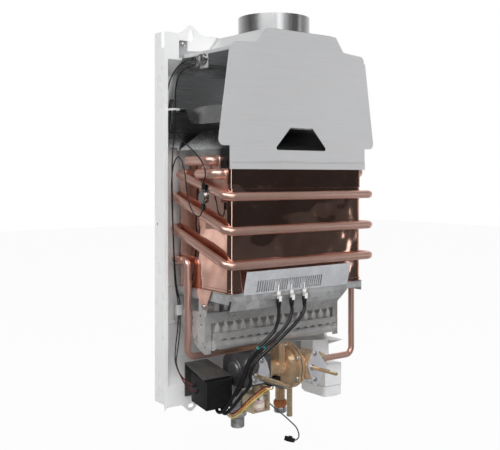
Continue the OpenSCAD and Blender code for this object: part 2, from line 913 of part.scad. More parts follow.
module overheat_thermostat() {
  start = tube_rows[outlet_row];
  run_z = start[1] + (coil_top_z - start[1]) * (chrome_depth - start[0])
    / (coil_front - start[0]);
  face = coil_left_x - coil_r - seat - clip_t;
  z = run_z - chrome_drop;
  color(bright_steel) {
    block([face, chrome_depth - clip_w / 2, run_z + coil_r - clip_h],
      [face + clip_t, chrome_depth + clip_w / 2, run_z + coil_r]);
    bar_x(face - chrome_t / 2, face, chrome_r, chrome_depth, z);
    bar_x(face - chrome_t, face, chrome_r - clip_t, chrome_depth, z);
    block([face - chrome_t / 2, chrome_depth - spade_w / 2 - over, z + chrome_r - over],
      [face - chrome_t / 2 + spade_t, chrome_depth + spade_w / 2 - over,
        z + chrome_r + chrome_spade_l]);
    block([face - chrome_t / 2, chrome_depth - spade_w / 2 - over,
        z - chrome_r - chrome_spade_l],
      [face - chrome_t / 2 + spade_t, chrome_depth + spade_w / 2 - over, z - chrome_r + over]);
  }
}

// Frame under the chamber
support_inner = 122;
support_t = 0.8;
support_front_h = 10.5;
support_side_h = 15;
ledge_w = 7.5;
support_front = chamber_front - 0.8;
support_x = tab_x - seat;
side_t = 1;
skirt_x = support_x - side_t - seat;
arm_w = 30;
arm_x = 96;
arm_drop = 7;
arm_h = 12;

module chamber_support() {
  top = chamber_bottom - seat;
  back = chamber_back - seat;
  color(dull_steel) {
    difference() {
      block([-support_x, back, top - support_t], [support_x, support_front, top]);
      block([-support_inner, back + ledge_w, top - over],
        [support_inner, support_front - ledge_w, top + over]);
      block([chamber_half + pipe_gap / 2, side_pipe_depth - pipe_od, top - over],
        [support_x + over, side_pipe_depth + pipe_od, top + over]);
    }
    both()
      along_x(skirt_x - support_t, skirt_x, [
        [back, top - support_t / 2], [support_front, top - support_t / 2],
        [support_front, top - support_side_h],
        [back + 2 * ledge_w, top - support_side_h + pipe_gap],
        [back, top - arm_h]
      ]);
    block([-skirt_x, support_front - support_t, top - support_front_h],
      [skirt_x, support_front, top - support_t / 2]);
    both() {
      block([arm_x, plate_t + seat, top - arm_drop - arm_h],
        [arm_x + arm_w, plate_t + seat + support_t, top - arm_drop]);
      block([arm_x, plate_t + seat, top - arm_drop - support_t],
        [arm_x + arm_w, back + support_t, top - arm_drop]);
      block([arm_x, back, top - arm_drop - support_t],
        [arm_x + arm_w, back + support_t, top - support_t / 2]);
    }
  }
}

// Slotted plate in front of the chamber
grille_t = 0.8;
grille_left = -106;
grille_right = 98;
grille_top = -66;
grille_drop = 4;
grille_lean = 8.8;
grille_count = 30;
grille_slot_w = 2;
grille_cover_w = 9;
grille_cover_top = -85;
electrode_xs = [-45, -20, 5];
rod_z = -89;
rod_hole_r = 2;

module grille_plate() {
  top = [support_front + seat + grille_t + grille_lean, grille_top];
  foot = [support_front + seat + grille_t, chamber_bottom - grille_drop];
  pitch = (grille_slot_right - grille_slot_left - grille_slot_w) / (grille_count - 1);
  slope = grille_lean / (top[1] - foot[1]);
  color(bright_steel) difference() {
    union() {
      difference() {
        along_x(grille_left, grille_right, sheet([top, foot], grille_t));
        for (i = [0:grille_count - 1])
          block([grille_slot_left + pitch * i, chamber_front, grille_slot_bottom],
            [grille_slot_left + pitch * i + grille_slot_w, top[0] + over, grille_slot_top]);
      }
      for (x = electrode_xs)
        along_x(x - grille_cover_w / 2, x + grille_cover_w / 2, sheet([
          [foot[0] + slope * (grille_cover_top - foot[1]), grille_cover_top],
          [foot[0] + slope * (grille_slot_bottom - over - foot[1]), grille_slot_bottom - over]
        ], -grille_t / 2));
      both()
        block([grille_right - grille_cover_w, chamber_front + seat, grille_top - over],
          [grille_right, top[0] - grille_t / 2, grille_top - over + grille_t]);
    }
    for (x = electrode_xs)
      bar_y(chamber_front - over, top[0] + over, rod_hole_r, x, rod_z);
  }
}

// Folded deflector below the plate
deflector_left = -126;
deflector_h = 21;
deflector_crease = 7;
deflector_lean = 5;
deflector_cut = 10;
deflector_cut_h = 13;

module air_deflector() {
  top = chamber_bottom - grille_drop - seat;
  face = support_front + seat + grille_t;
  color(galvanised) difference() {
    along_x(deflector_left, grille_right, sheet([
      [face, top], [face, top - deflector_crease],
      [face - deflector_lean, top - deflector_h]
    ], grille_t));
    along_y(support_front - deflector_h, face + over)
      polygon([
        [grille_right + over, top - deflector_h + deflector_cut_h],
        [grille_right, top - deflector_h + deflector_cut_h],
        [grille_right - deflector_cut, top - deflector_h],
        [grille_right - deflector_cut, top - deflector_h - over],
        [grille_right + over, top - deflector_h - over]
      ]);
  }
}

// Ceramic electrodes, their clamp and their boots
ceramic_r = 3;
ceramic_top = -98.5;
ceramic_l = 13.5;
rod_r = 0.8;
rod_bend = 1.6;
rod_reach = 26;
boot_r = 3.8;
boot_l = 13;
boot_over = 3;
clamp_z = -104;
clamp_side = 10;
clamp_t = 0.8;
clamp_h = 6;
electrode_depth = support_front + seat + grille_t + 4.6;

module electrodes() {
  color(ceramic)
    for (x = electrode_xs) {
      bar_z(ceramic_top - ceramic_l, ceramic_top, ceramic_r, x, electrode_depth);
      pipe([[x, electrode_depth, ceramic_top - rod_r, 0],
        [x, electrode_depth, rod_z, rod_bend],
        [x, electrode_depth - rod_reach, rod_z, 0]], rod_r);
    }
}

module electrode_bracket() {
  face = support_front + seat + grille_t + seat;
  x0 = electrode_xs[0] - clamp_side;
  x1 = electrode_xs[2] + clamp_side;
  color(dull_steel) difference() {
    union() {
      block([x0, face, clamp_z], [x1, electrode_depth + ceramic_r + clamp_t, clamp_z + clamp_t]);
      block([x0, face, clamp_z - clamp_h + clamp_t / 2], [x1, face + clamp_t, clamp_z + clamp_t]);
    }
    for (x = electrode_xs)
      bar_z(clamp_z - over, clamp_z + over, ceramic_r + seat, x, electrode_depth);
  }
}

module electrode_boots() {
  color(black)
    for (x = electrode_xs)
      difference() {
        bar_z(ceramic_top - ceramic_l + boot_over - boot_l,
          ceramic_top - ceramic_l + boot_over, boot_r, x, electrode_depth);
        bar_z(ceramic_top - ceramic_l - seat, ceramic_top, ceramic_r + seat, x, electrode_depth);
      }
}

// Burner: end plates, rails, blades, manifold and jets
side_drop = 33;
side_from = plate_t + rib_out + seat;
side_front = 86;
side_low = 60.5;
side_flange_w = 10;
side_plate = [
  [side_from, 0], [70, 0], [70, 17], [90, 17], [90, -3], [side_front, -7],
  [side_front, -side_low], [64, -52.4], [48.3, -29.8], [side_from, -21]
];
punches = [[53.5, -11.3], [53.5, -20.2], [74.3, -5.6], [76.9, -18.3]];
punch_r = 1.8;
rail_t = 0.8;
rail_h = 16;
rail_turn = 6;
side_x = support_x - side_t;
blade_pitch = 2 * (side_x - blade_margin) / (blade_count - 1);
burner_top = chamber_bottom - side_drop;
blade_top = chamber_bottom - 21;
blade_h = 40;
blade_w = 7;
blade_neck = 4;
mouth_drop = 30.5;
mouth_w = 8;
mouth_h = 22;
mouth_l = 8;
mouth_out = 0.5;
mouth_hole_r = 2.8;
port_count = 6;
port_w = 1.6;
port_deep = 5;
manifold_r = manifold_od / 2;
manifold_t = 1.2;
manifold_z = burner_top - 48;
manifold_depth = burner_front + 2.5;
strip_h = 14;
strip_rise = 3.5;
strip_t = 3;
strip_slot = [9, 2.6];
strip_slot_rise = 7.4;
jet_rise = 12.6;
jet_r = 2.4;
jet_h = 2.2;
jet_hole_r = 1;
nozzle_r = 1.5;
nozzle_l = 3;
jet_z = manifold_z + jet_rise;
screw_r = 2;
screw_l = 6;

module burner_side() {
  block([side_x - side_flange_w, side_front - side_t, burner_top - side_low],
    [side_x + side_t / 2, side_front, burner_top - rail_h - seat]);
  difference() {
    along_x(side_x, side_x + side_t, [for (p = side_plate) [p[0], burner_top + p[1]]]);
    for (p = punches)
      bar_x(side_x - over, side_x + over, punch_r, p[0], burner_top + p[1]);
    bar_x(side_x - over, side_x + over, screw_r + seat,
      tab_depth, chamber_bottom - tab_h + tab_hole_rise);
  }
}

module burner_side_left() {
  color(galvanised)
    mirror([1, 0, 0])
      burner_side();
}

module burner_side_right() {
  color(galvanised)
    burner_side();
}

module burner_front_rail() {
  x = side_x - seat;
  color(galvanised) {
    block([-x, burner_front - rail_t, burner_top - rail_h], [x, burner_front, burner_top]);
    block([-x, burner_front - rail_t, burner_top - rail_t], [x, burner_front + rail_turn, burner_top]);
  }
}

module burner_rear_rail() {
  x = side_x - seat;
  back = burner_front - burner_d;
  color(galvanised) {
    block([-x, back - rail_t, burner_top - rail_h], [x, back, burner_top]);
    block([-x, back - rail_turn, burner_top - rail_h], [x, back, burner_top - rail_h + rail_t]);
  }
}

module blade() {
  back = burner_front - burner_d + seat;
  front = burner_front - rail_t - seat;
  pitch = (front - back) / port_count;
  mouth_z = burner_top - mouth_drop;
  difference() {
    union() {
      block([-blade_w / 2, back, blade_top - blade_h / 2], [blade_w / 2, front, blade_top]);
      block([-blade_neck / 2, back, blade_top - blade_h],
        [blade_neck / 2, front, blade_top - blade_h / 2]);
      along_y(front - mouth_l, front + mouth_out)
        translate([0, mouth_z])
          rotate(90)
            oblong(mouth_h, mouth_w);
    }
    for (i = [0:port_count - 1])
      block([-blade_w / 2 - over, back + pitch * (i + 1 / 2) - port_w / 2,
          blade_top - port_deep],
        [blade_w / 2 + over, back + pitch * (i + 1 / 2) + port_w / 2, blade_top + over]);
    bar_y(front - mouth_l / 2, front + mouth_out + over, mouth_hole_r, 0, jet_z);
  }
}

module at_blades() {
  for (i = [0:blade_count - 1])
    translate([(i - (blade_count - 1) / 2) * blade_pitch, 0, 0])
      children();
}

module burner_blades() {
  color(bright_steel)
    at_blades()
      blade();
}

module gas_manifold() {
  x = side_x - side_flange_w - seat;
  color(bright_steel) difference() {
    union() {
      bar_x(-x, x, manifold_r, manifold_depth, manifold_z);
      block([-x, manifold_depth, manifold_z + strip_rise],
        [x, manifold_depth + strip_t, manifold_z + strip_rise + strip_h]);
    }
    bar_x(-x + manifold_t, x + over, manifold_r - manifold_t, manifold_depth, manifold_z);
    at_blades() {
      bar_z(manifold_z, jet_z, jet_hole_r, 0, manifold_depth + strip_t / 2);
      bar_y(manifold_depth - over, manifold_depth + strip_t / 2, jet_hole_r, 0, jet_z);
      block([blade_pitch / 2 - strip_slot[0] / 2, manifold_depth - over,
          manifold_z + strip_slot_rise - strip_slot[1] / 2],
        [blade_pitch / 2 + strip_slot[0] / 2, manifold_depth + strip_t + over,
          manifold_z + strip_slot_rise + strip_slot[1] / 2]);
    }
  }
}

module gas_jets() {
  foot = manifold_depth - seat;
  color(brass)
    at_blades()
      difference() {
        union() {
          along_y(foot - jet_h, foot)
            translate([0, jet_z])
              hexagon(2 * jet_r);
          bar_y(foot - jet_h - nozzle_l, foot, nozzle_r, 0, jet_z);
        }
        bar_y(foot - jet_h - nozzle_l - over, foot + over, jet_hole_r, 0, jet_z);
      }
}

// Gas side: riser with its neck, valve body, front plate and spindle
neck_r = 12;
riser_x = [-14, -3];
riser_d = 24;
gas_body_x = [-84, -34];
gas_body = [[64, -18, 5], [116, -18, 4], [116, 26, 7], [64, 26, 12]];
gas_front = 116;
valve_plate_t = 1.8;
gas_plate = [
  [-52.4, 28.9, 3], [-72.1, 7.5, 3], [-71, -14, 3], [-41, -14, 3], [-38, 0, 3], [-42.9, 15.8, 3]
];
gas_spindle_x = -64;
gas_spindle_z = valve_z - 1.5;
gas_spindle_end = 188.6;
spindle_r = spindle_od / 2;
spindle_in = 106;
flat_l = 16;
flat_share = 0.5;
gas_inlet_x = -65;
gas_inlet_depth = 75;
thread_r = thread_od / 2;
inlet_neck_r = 8;
inlet_bore_r = 7;
inlet_hex = 24;
inlet_hex_h = 7;
inlet_end = -308;
inlet_thread_h = 17;
groove_h = 2;
groove_in = 1.5;
bracket_t = 1;
inlet_bracket_z = -276;
inlet_bracket_top = -256;
inlet_plate = [[-90, 27], [-44, 27], [-54, 86], [-78, 86]];

// Points [x, height above the valves' axis, radius] of the outlines
function at_valve(p) = [for (q = p) [q[0], valve_z + q[1], q[2]]];

module gas_riser() {
  color(brass) {
    block([riser_x[0], valve_depth - riser_d / 2, valve_z],
      [riser_x[1], valve_depth + riser_d / 2, manifold_z - manifold_r - seat]);
    bar_x(gas_body_x[1] + seat, -seat, neck_r, valve_depth, valve_z);
    bar_x(gas_body_x[1] + seat, gas_body_x[1] + seat + flange_t, neck_r + flange_t,
      valve_depth, valve_z);
  }
}

module gas_valve_body() {
  color([0.25, 0.25, 0.27]) difference() {
    along_x(gas_body_x[0], gas_body_x[1], rounded(at_valve(gas_body)));
    bar_y(spindle_in - seat, gas_front + over, spindle_r + fit, gas_spindle_x, gas_spindle_z);
    bar_z(valve_z + gas_body[0][1] - over, valve_z, inlet_bore_r, gas_inlet_x, gas_inlet_depth);
  }
}

module gas_valve_plate() {
  color(plate_grey) difference() {
    along_y(gas_front + seat, gas_front + seat + valve_plate_t)
      polygon(rounded(at_valve(gas_plate)));
    bar_y(gas_front, gas_front + valve_plate_t + over, spindle_r + fit, gas_spindle_x, gas_spindle_z);
    bar_y(gas_front, gas_front + valve_plate_t + over, lever_pin_r + fit,
      lever_pivot[0], lever_pivot[1]);
    for (p = at_valve(gas_plate_screws))
      bar_y(gas_front, gas_front + valve_plate_t + over, screw_r + seat, p[0], p[1]);
  }
}

module spindle(x, z, end) {
  difference() {
    bar_y(spindle_in, end, spindle_r, x, z);
    block([x - spindle_r - over, end - flat_l, z + spindle_r * flat_share],
      [x + spindle_r + over, end + over, z + spindle_r + over]);
  }
}

module gas_spindle() {
  color(brass)
    spindle(gas_spindle_x, gas_spindle_z, gas_spindle_end);
}

// A threaded connection that ends below
module connection(x, depth, end, hex_z, neck_top, neck, bore) {
  difference() {
    union() {
      bar_z(end, hex_z, thread_r, x, depth);
      along_z(hex_z, hex_z + inlet_hex_h)
        translate([x, depth])
          hexagon(inlet_hex);
      bar_z(hex_z, neck_top, neck, x, depth);
    }
    bar_z(end - over, neck_top + over, bore, x, depth);
    difference() {
      bar_z(hex_z - groove_h, hex_z, thread_r + over, x, depth);
      bar_z(hex_z - groove_h, hex_z, thread_r - groove_in, x, depth);
    }
  }
}

module gas_inlet() {
  color(galvanised)
    connection(gas_inlet_x, gas_inlet_depth, inlet_end, inlet_end + inlet_thread_h,
      valve_z + gas_body[0][1] - seat, inlet_neck_r, inlet_bore_r);
}

module inlet_bracket() {
  color(dull_steel) {
    along_z(inlet_bracket_z, inlet_bracket_z + bracket_t)
      difference() {
        polygon(inlet_plate);
        translate([gas_inlet_x, gas_inlet_depth])
          circle(inlet_neck_r + seat);
      }
    block([inlet_plate[0][0], plate_depth + seat, inlet_bracket_z],
      [inlet_plate[1][0], plate_depth + seat + bracket_t, inlet_bracket_top]);
  }
}

// Solenoid below the gas valve
solenoid_x = [-66, -34];
solenoid_y = [88, 114];
solenoid_top = -253;
solenoid_bottom = -280;
frame_t = 2;
solenoid_neck_r = 6;
bobbin_t = 2;
bobbin_r = 12.8;
winding_r = 11.8;

module solenoid_frame() {
  x = (solenoid_x[0] + solenoid_x[1]) / 2;
  color(brass) {
    difference() {
      block([solenoid_x[0], solenoid_y[0], solenoid_bottom],
        [solenoid_x[1], solenoid_y[1], solenoid_top]);
      block([solenoid_x[0] + frame_t, solenoid_y[0] - over, solenoid_bottom + frame_t],
        [solenoid_x[1] - frame_t, solenoid_y[1] + over, solenoid_top - frame_t]);
    }
    bar_z(solenoid_top, valve_z + gas_body[0][1] - seat, solenoid_neck_r, x,
      (solenoid_y[0] + solenoid_y[1]) / 2);
  }
}

module solenoid_coil() {
  x = (solenoid_x[0] + solenoid_x[1]) / 2;
  depth = (solenoid_y[0] + solenoid_y[1]) / 2;
  low = solenoid_bottom + frame_t + seat;
  high = solenoid_top - frame_t - seat;
  color([0.85, 0.7, 0.72]) {
    bar_z(low, high, winding_r, x, depth);
    bar_z(low, low + bobbin_t, bobbin_r, x, depth);
    bar_z(high - bobbin_t, high, bobbin_r, x, depth);
  }
}

// Water side: diaphragm housing in two halves, block, front plate and spindle
dome_r = [13, 20, 26.5];
dome_x = [0, 3, 8, 12];
flange_t = 4;
diaphragm_t = 1.5;
shell_r = [30, 24, 15];
shell_x = [0, 6, 13, 20];
housing_r = diaphragm_od / 2;
bolt_ring = 3.2;
bolt_count = 6;
block_x = [34, 67];
block_y = [80, 117.4];
block_z = [-23, 17];
block_r = 4;
boss_r = 6.5;
boss_drop = 36;
drain_x = 26;
drain_depth = 89;
drain_r = 4.5;
drain_stem_r = 3;
drain_stem_l = 8;
drain_end = -305;
drain_slot = [1.2, 3];
water_plate = [[51, 27.4, 4], [78, -7, 4], [51, -38, 4], [37.5, -2, 4]];
water_plate_screws = [[51.5, 16], [52, -24]];
gas_plate_screws = [[-52.5, 19], [-66, -9]];
water_spindle_x = 46;
water_spindle_z = valve_z - 4.5;
water_spindle_end = 173;
cold_x = 38;
cold_depth = 52;
cold_r = 8;
cold_bend = 9;
cold_joint_drop = 9;
cold_end = -309;
cold_thread_h = 9;
hot_end = -300;
hot_thread_h = 24;
half_x = dome_x[3] + 2 * fit + diaphragm_t;

module around_x(x, z, p) {
  translate([x, -valve_depth, z])
    rotate([0, 90, 0])
      rotate_extrude()
        polygon(p);
}

module bolt_holes(x0, x1, r) {
  for (i = [0:bolt_count - 1])
    let (a = 360 * i / bolt_count)
      bar_x(x0, x1, r, valve_depth + (housing_r - bolt_ring) * sin(a),
        valve_z + (housing_r - bolt_ring) * cos(a));
}

module diaphragm_cover() {
  color(brass) difference() {
    around_x(dome_x[0], valve_z, [
      [0, 0], [dome_r[0], 0], [dome_r[1], dome_x[1]], [dome_r[2], dome_x[2]],
      [housing_r, dome_x[2]], [housing_r, dome_x[3]], [0, dome_x[3]]
    ]);
    bolt_holes(dome_x[0], dome_x[3] + over, screw_r + fit);
  }
}

module diaphragm() {
  color(black) difference() {
    bar_x(dome_x[3] + fit, dome_x[3] + fit + diaphragm_t, housing_r, valve_depth, valve_z);
    bolt_holes(dome_x[3] - over, half_x + over, screw_r + fit);
  }
}

module water_valve_body() {
  bottom = valve_z - boss_drop;
  color(brass) difference() {
    union() {
      around_x(half_x, valve_z, [
        [0, 0], [housing_r, 0], [housing_r, flange_t], [shell_r[0], flange_t],
        [shell_r[1], flange_t + shell_x[1]], [shell_r[2], flange_t + shell_x[2]],
        [shell_r[2], block_x[0] - half_x + over], [0, block_x[0] - half_x + over]
      ]);
      along_y(block_y[0], block_y[1])
        polygon(rounded([
          [block_x[0], valve_z + block_z[0], block_r],
          [block_x[1], valve_z + block_z[0], block_r],
          [block_x[1], valve_z + block_z[1], block_r],
          [block_x[0], valve_z + block_z[1], block_r]
        ]));
      bar_z(bottom, valve_z, boss_r, drain_x, drain_depth);
    }
    bar_z(bottom - over, bottom + drain_stem_l + seat, drain_stem_r + fit, drain_x, drain_depth);
    bar_y(spindle_in - seat, block_y[1] + over, spindle_r + fit, water_spindle_x, water_spindle_z);
    bolt_holes(half_x - over, half_x + flange_t + over, screw_r + fit);
  }
}

module pan_screw(l) {
  bar_z(fit, fit + screw_r, 2 * screw_r, 0, 0);
  bar_z(-l, fit + over / 2, screw_r, 0, 0);
}

module screw_y(x, z, face, l) {
  translate([x, -face, z])
    rotate([90, 0, 0])
      pan_screw(l);
}

module screws() {
  long = flange_t + diaphragm_t + 2 * fit + flange_t;
  tab_z = chamber_bottom - tab_h + tab_hole_rise;
  color(bright_steel) {
    both() {
      screw_y(ear_screw_x, ear_screw_z, rear_upper, screw_l);
      translate([tab_x + copper_t, -tab_depth, tab_z])
        rotate([0, 90, 0])
          pan_screw(screw_l / 2);
    }
    for (p = at_valve(gas_plate_screws))
      screw_y(p[0], p[1], gas_front + seat + valve_plate_t, valve_plate_t);
    for (p = at_valve(water_plate_screws))
      screw_y(p[0], p[1], block_y[1] + seat + valve_plate_t, valve_plate_t);
    for (i = [0:bolt_count - 1])
      let (a = 360 * i / bolt_count)
        translate([dome_x[2], -valve_depth - (housing_r - bolt_ring) * sin(a),
            valve_z + (housing_r - bolt_ring) * cos(a)])
          rotate([0, -90, 0])
            pan_screw(long);
  }
}

module water_valve_plate() {
  color(plate_grey) difference() {
    along_y(block_y[1] + seat, block_y[1] + seat + valve_plate_t)
      polygon(rounded(at_valve(water_plate)));
    bar_y(block_y[1], block_y[1] + valve_plate_t + over, spindle_r + fit,
      water_spindle_x, water_spindle_z);
    for (p = at_valve(water_plate_screws))
      bar_y(block_y[1], block_y[1] + valve_plate_t + over, screw_r + seat, p[0], p[1]);
  }
}

module water_spindle() {
  color(brass)
    spindle(water_spindle_x, water_spindle_z, water_spindle_end);
}

module union_nut() {
  color(brass) difference() {
    union() {
      translate([nut_x, -valve_depth, valve_z])
        rotate([0, 90, 0])
          linear_extrude(nut_l - nut_in)
            hexagon(nut_across);
      bar_x(nut_x, nut_x + nut_l, nut_across / 2 - copper_t, valve_depth, valve_z);
    }
    bar_x(nut_x + nut_in - seat, nut_x + nut_l + over, pipe_r + seat, valve_depth, valve_z);
  }
}

module water_inlet() {
  joint_z = valve_z - cold_joint_drop;
  color(brass) {
    pipe([
      [cold_x, cold_depth, cold_end + cold_thread_h, 0],
      [cold_x, cold_depth, joint_z, cold_bend],
      [cold_x, block_y[0] - seat, joint_z, 0]
    ], cold_r);
    difference() {
      bar_z(cold_end, cold_end + cold_thread_h, thread_r, cold_x, cold_depth);
      bar_z(cold_end - over, cold_end + cold_thread_h - groove_h, inlet_bore_r, cold_x, cold_depth);
    }
    bar_z(cold_end + cold_thread_h, cold_end + 2 * cold_thread_h, thread_r - groove_in,
      cold_x, cold_depth);
  }
}

module hot_outlet() {
  color(brass)
    connection(outlet_x, outlet_depth, hot_end, hot_end + hot_thread_h, outlet_top,
      inlet_neck_r, pipe_r - copper_t);
}

module drain_valve() {
  top = valve_z - boss_drop;
  color(brass) difference() {
    union() {
      bar_z(drain_end, top - seat, drain_r, drain_x, drain_depth);
      bar_z(drain_end, top + drain_stem_l, drain_stem_r, drain_x, drain_depth);
    }
    block([drain_x - drain_r - over, drain_depth - drain_slot[0] / 2, drain_end - over],
      [drain_x + drain_r + over, drain_depth + drain_slot[0] / 2, drain_end + drain_slot[1]]);
  }
}

// Microswitch under the neck and the lever that works it
switch_x = [-29.3, -10];
switch_y = [94, 110];
switch_h = 12;
button_r = 1.2;
button_h = 1.5;
lever_pivot = [-56, valve_z - 7];
lever_end = [-12, valve_z - 27.5];
lever_w = 5;
lever_t = 1.5;
lever_pin_r = 1.5;
lever_tab_w = 4;
lever_tab_t = 1;

module microswitch() {
  top = valve_z - neck_r - seat;
  color(black) {
    block([switch_x[0], switch_y[0], top - switch_h], [switch_x[1], switch_y[1], top]);
    bar_z(top - switch_h - button_h, top - switch_h + over, button_r,
      lever_end[0] - lever_tab_w / 2, switch_y[1] - lever_tab_w);
  }
}

module switch_lever() {
  back = gas_front + 2 * seat + valve_plate_t;
  d = lever_end - lever_pivot;
  top = valve_z - neck_r - seat - switch_h - button_h - seat;
  color([0.3, 0.32, 0.28]) {
    along_y(back, back + lever_t)
      translate(lever_pivot)
        rotate(atan2(d[1], d[0])) {
          translate([0, -lever_w / 2])
            square([norm(d), lever_w]);
          circle(lever_w / 2);
        }
    bar_y(back - valve_plate_t, back + lever_t + lever_tab_t, lever_pin_r,
      lever_pivot[0], lever_pivot[1]);
    block([lever_end[0] - lever_tab_w, switch_y[0] + switch_h / 2, top - lever_tab_t],
      [lever_end[0], back + lever_t, top]);
  }
}

// Ignition box on its bracket
box_bracket_x = [-139, -88];
box_bracket_top = -211;
box_bracket_front = 92;
box_bracket_drop = 12.5;
bracket_taper = 10;
box_bracket_bottom = -262;
box_side_h = 26;
box_left = -137;
box_y = [58, 98];
box_slope = 7;
box_r = 2;
box_groove = 0.8;
bracket_back = plate_depth + seat + bracket_t;
bracket_slope = box_bracket_drop / (box_bracket_front - bracket_back);
function under_bracket(depth) =
  box_bracket_top - (depth - bracket_back) * bracket_slope - 2 * bracket_t;

module ignition_bracket() {
  color(dull_steel) {
    difference() {
      along_x(box_bracket_x[0], box_bracket_x[1], sheet([
        [bracket_back, box_bracket_bottom], [bracket_back, box_bracket_top],
        [box_bracket_front, box_bracket_top - box_bracket_drop]
      ], bracket_t));
      along_z(box_bracket_bottom - over, box_bracket_top + over)
        polygon([
          [box_bracket_x[0] - over, bracket_back - bracket_t - over],
          [box_bracket_x[0] + bracket_taper, bracket_back - bracket_t - over],
          [box_bracket_x[0] + bracket_taper, bracket_back],
          [box_bracket_x[0], box_bracket_front],
          [box_bracket_x[0] - over, box_bracket_front]
        ]);
    }
    along_x(box_bracket_x[1] - bracket_t, box_bracket_x[1], [
      [bracket_back - bracket_t / 2, box_bracket_top - bracket_t / 2],
      [box_bracket_front, box_bracket_top - box_bracket_drop - bracket_t / 2],
      [box_bracket_front, box_bracket_top - box_bracket_drop - box_side_h],
      [bracket_back - bracket_t / 2, box_bracket_top - box_side_h]
    ]);
  }
}

module ignition_box() {
  x1 = box_left + ignition_w;
  bottom = valve_z - ignition_h;
  color(black) difference() {
    along_x(box_left, x1, rounded([
      [box_y[0], under_bracket(box_y[0]) - seat, box_r],
      [box_y[1], under_bracket(box_y[1]) - seat, box_r],
      [box_y[1], bottom, box_r],
      [box_y[0], bottom + box_slope, box_r]
    ]));
    difference() {
      block([box_left - over, box_y[1] - 3 * box_r, bottom - over],
        [x1 + over, box_y[1] - 3 * box_r + box_groove, under_bracket(box_y[0])]);
      block([box_left + box_groove, box_y[0], bottom + box_r],
        [x1 - box_groove, box_y[1], under_bracket(box_y[1]) - box_r]);
    }
  }
}

// Battery box under its shelf, with a hinged lid and one cell
battery_left = 104;
battery_y = [27, 87];
battery_wall = 1.2;
lower_top = -238;
lower_bottom = -273;
upper_front = 57;
shelf_z = -200;
shelf_x = [57, 143];
shelf_front = 87;
shelf_left_front = 34;
shelf_flange = 12;
shelf_t = 0.8;
lid_bottom = -289;
lid_flare = 1.5;
lid_r = 7;
lid_wall = 1.4;
lid_axis_depth = 32.5;
lid_axis_z = -284;
lid_pin_r = 1.5;
lid_ear_w = 2;
lid_ear_r = 3.2;
lid_room = 16;
lid_clear = 4.2;
lid_pull_w = 14;
lid_pull = 2;
battery_r = battery_od / 2;
battery_x = battery_left + battery_box_w / 2;
cell_z = lower_top - battery_wall - seat - battery_r;
cap_r = 4.7;
cap_h = 1.5;

module battery_bracket() {
  color(white) {
    along_z(shelf_z - shelf_t, shelf_z)
      polygon([
        [shelf_x[0], plate_t + seat], [shelf_x[1], plate_t + seat],
        [shelf_x[1], shelf_front], [shelf_x[0], shelf_left_front]
      ]);
    block([shelf_x[0], plate_t + seat, shelf_z - shelf_t],
      [shelf_x[1], plate_t + seat + shelf_t, shelf_z + shelf_flange]);
    along_x(shelf_x[1] - shelf_t, shelf_x[1], [
      [plate_depth, shelf_z - shelf_t / 2], [shelf_front, shelf_z - shelf_t / 2],
      [upper_front, shelf_z - shelf_flange], [plate_depth, shelf_z - shelf_flange]
    ]);
  }
}

module battery_box() {
  x0 = battery_left;
  x1 = battery_left + battery_box_w;
  top = shelf_z - shelf_t - seat;
  color(white) difference() {
    union() {
      block([x0, battery_y[0], lower_bottom], [x1, battery_y[1], lower_top]);
      block([x0, battery_y[0], lower_top - over], [x1, upper_front, top]);
      for (x = [x0, x1 - lid_ear_w]) {
        bar_x(x, x + lid_ear_w, lid_ear_r, lid_axis_depth, lid_axis_z);
        block([x, lid_axis_depth - lid_ear_r, lid_axis_z],
          [x + lid_ear_w, lid_axis_depth + lid_ear_r, lower_bottom + over]);
      }
    }
    block([x0 + battery_wall, battery_y[0] + battery_wall, lower_bottom - over],
      [x1 - battery_wall, battery_y[1] - battery_wall, lower_top - battery_wall]);
    block([x0 + battery_wall, battery_y[0] - over, lower_top],
      [x1 - battery_wall, upper_front - battery_wall, top - battery_wall]);
    block([x0 + lid_ear_w, battery_y[0] - over, lower_bottom - lid_room],
      [x1 - lid_ear_w, lid_axis_depth + lid_clear, lower_bottom - seat]);
    bar_x(x0 - over, x1 + over, lid_pin_r + fit, lid_axis_depth, lid_axis_z);
  }
}

module battery_lid() {
  x0 = battery_left - lid_flare;
  x1 = battery_left + battery_box_w + lid_flare;
  rear = battery_left + lid_ear_w + seat;
  rear_end = battery_left + battery_box_w - lid_ear_w - seat;
  front = battery_y[1] + lid_flare;
  top = lower_bottom - seat;
  color(white) {
    difference() {
      union() {
        along_z(lid_bottom, top)
          round_rect([x0, lid_axis_depth + lid_clear], [x1, front], lid_r);
        block([x0, lid_axis_depth + lid_clear, lid_bottom], [x1, front - lid_r, top]);
        block([rear, lid_axis_depth, lid_bottom], [rear_end, front - lid_r, top]);
        bar_x(rear, rear_end, lid_axis_z - lid_bottom, lid_axis_depth, lid_axis_z);
        bar_x(battery_left + lid_flare / 4, battery_left + battery_box_w - lid_flare / 4,
          lid_pin_r, lid_axis_depth, lid_axis_z);
      }
      block([rear + lid_wall, lid_axis_depth + lid_clear + lid_wall,
          lid_bottom + lid_wall],
        [rear_end - lid_wall, front - 2 * lid_wall, top + over]);
    }
    for (d = [battery_y[0] + battery_l / 3, battery_y[1] - battery_l / 3])
      block([battery_x - battery_r / 2, d - lid_wall / 2, lid_bottom + lid_wall / 2],
        [battery_x + battery_r / 2, d + lid_wall / 2, top]);
    block([battery_x - lid_pull_w / 2, front - over, lid_bottom],
      [battery_x + lid_pull_w / 2, front + lid_pull, lid_bottom + lid_wall]);
  }
}

module battery() {
  back = battery_y[0] + battery_wall + seat;
  color([0.3, 0.35, 0.5]) {
    bar_y(back, back + battery_l, battery_r, battery_x, cell_z);
    bar_y(back + battery_l - over, back + battery_l + cap_h, cap_r, battery_x, cell_z);
  }
}

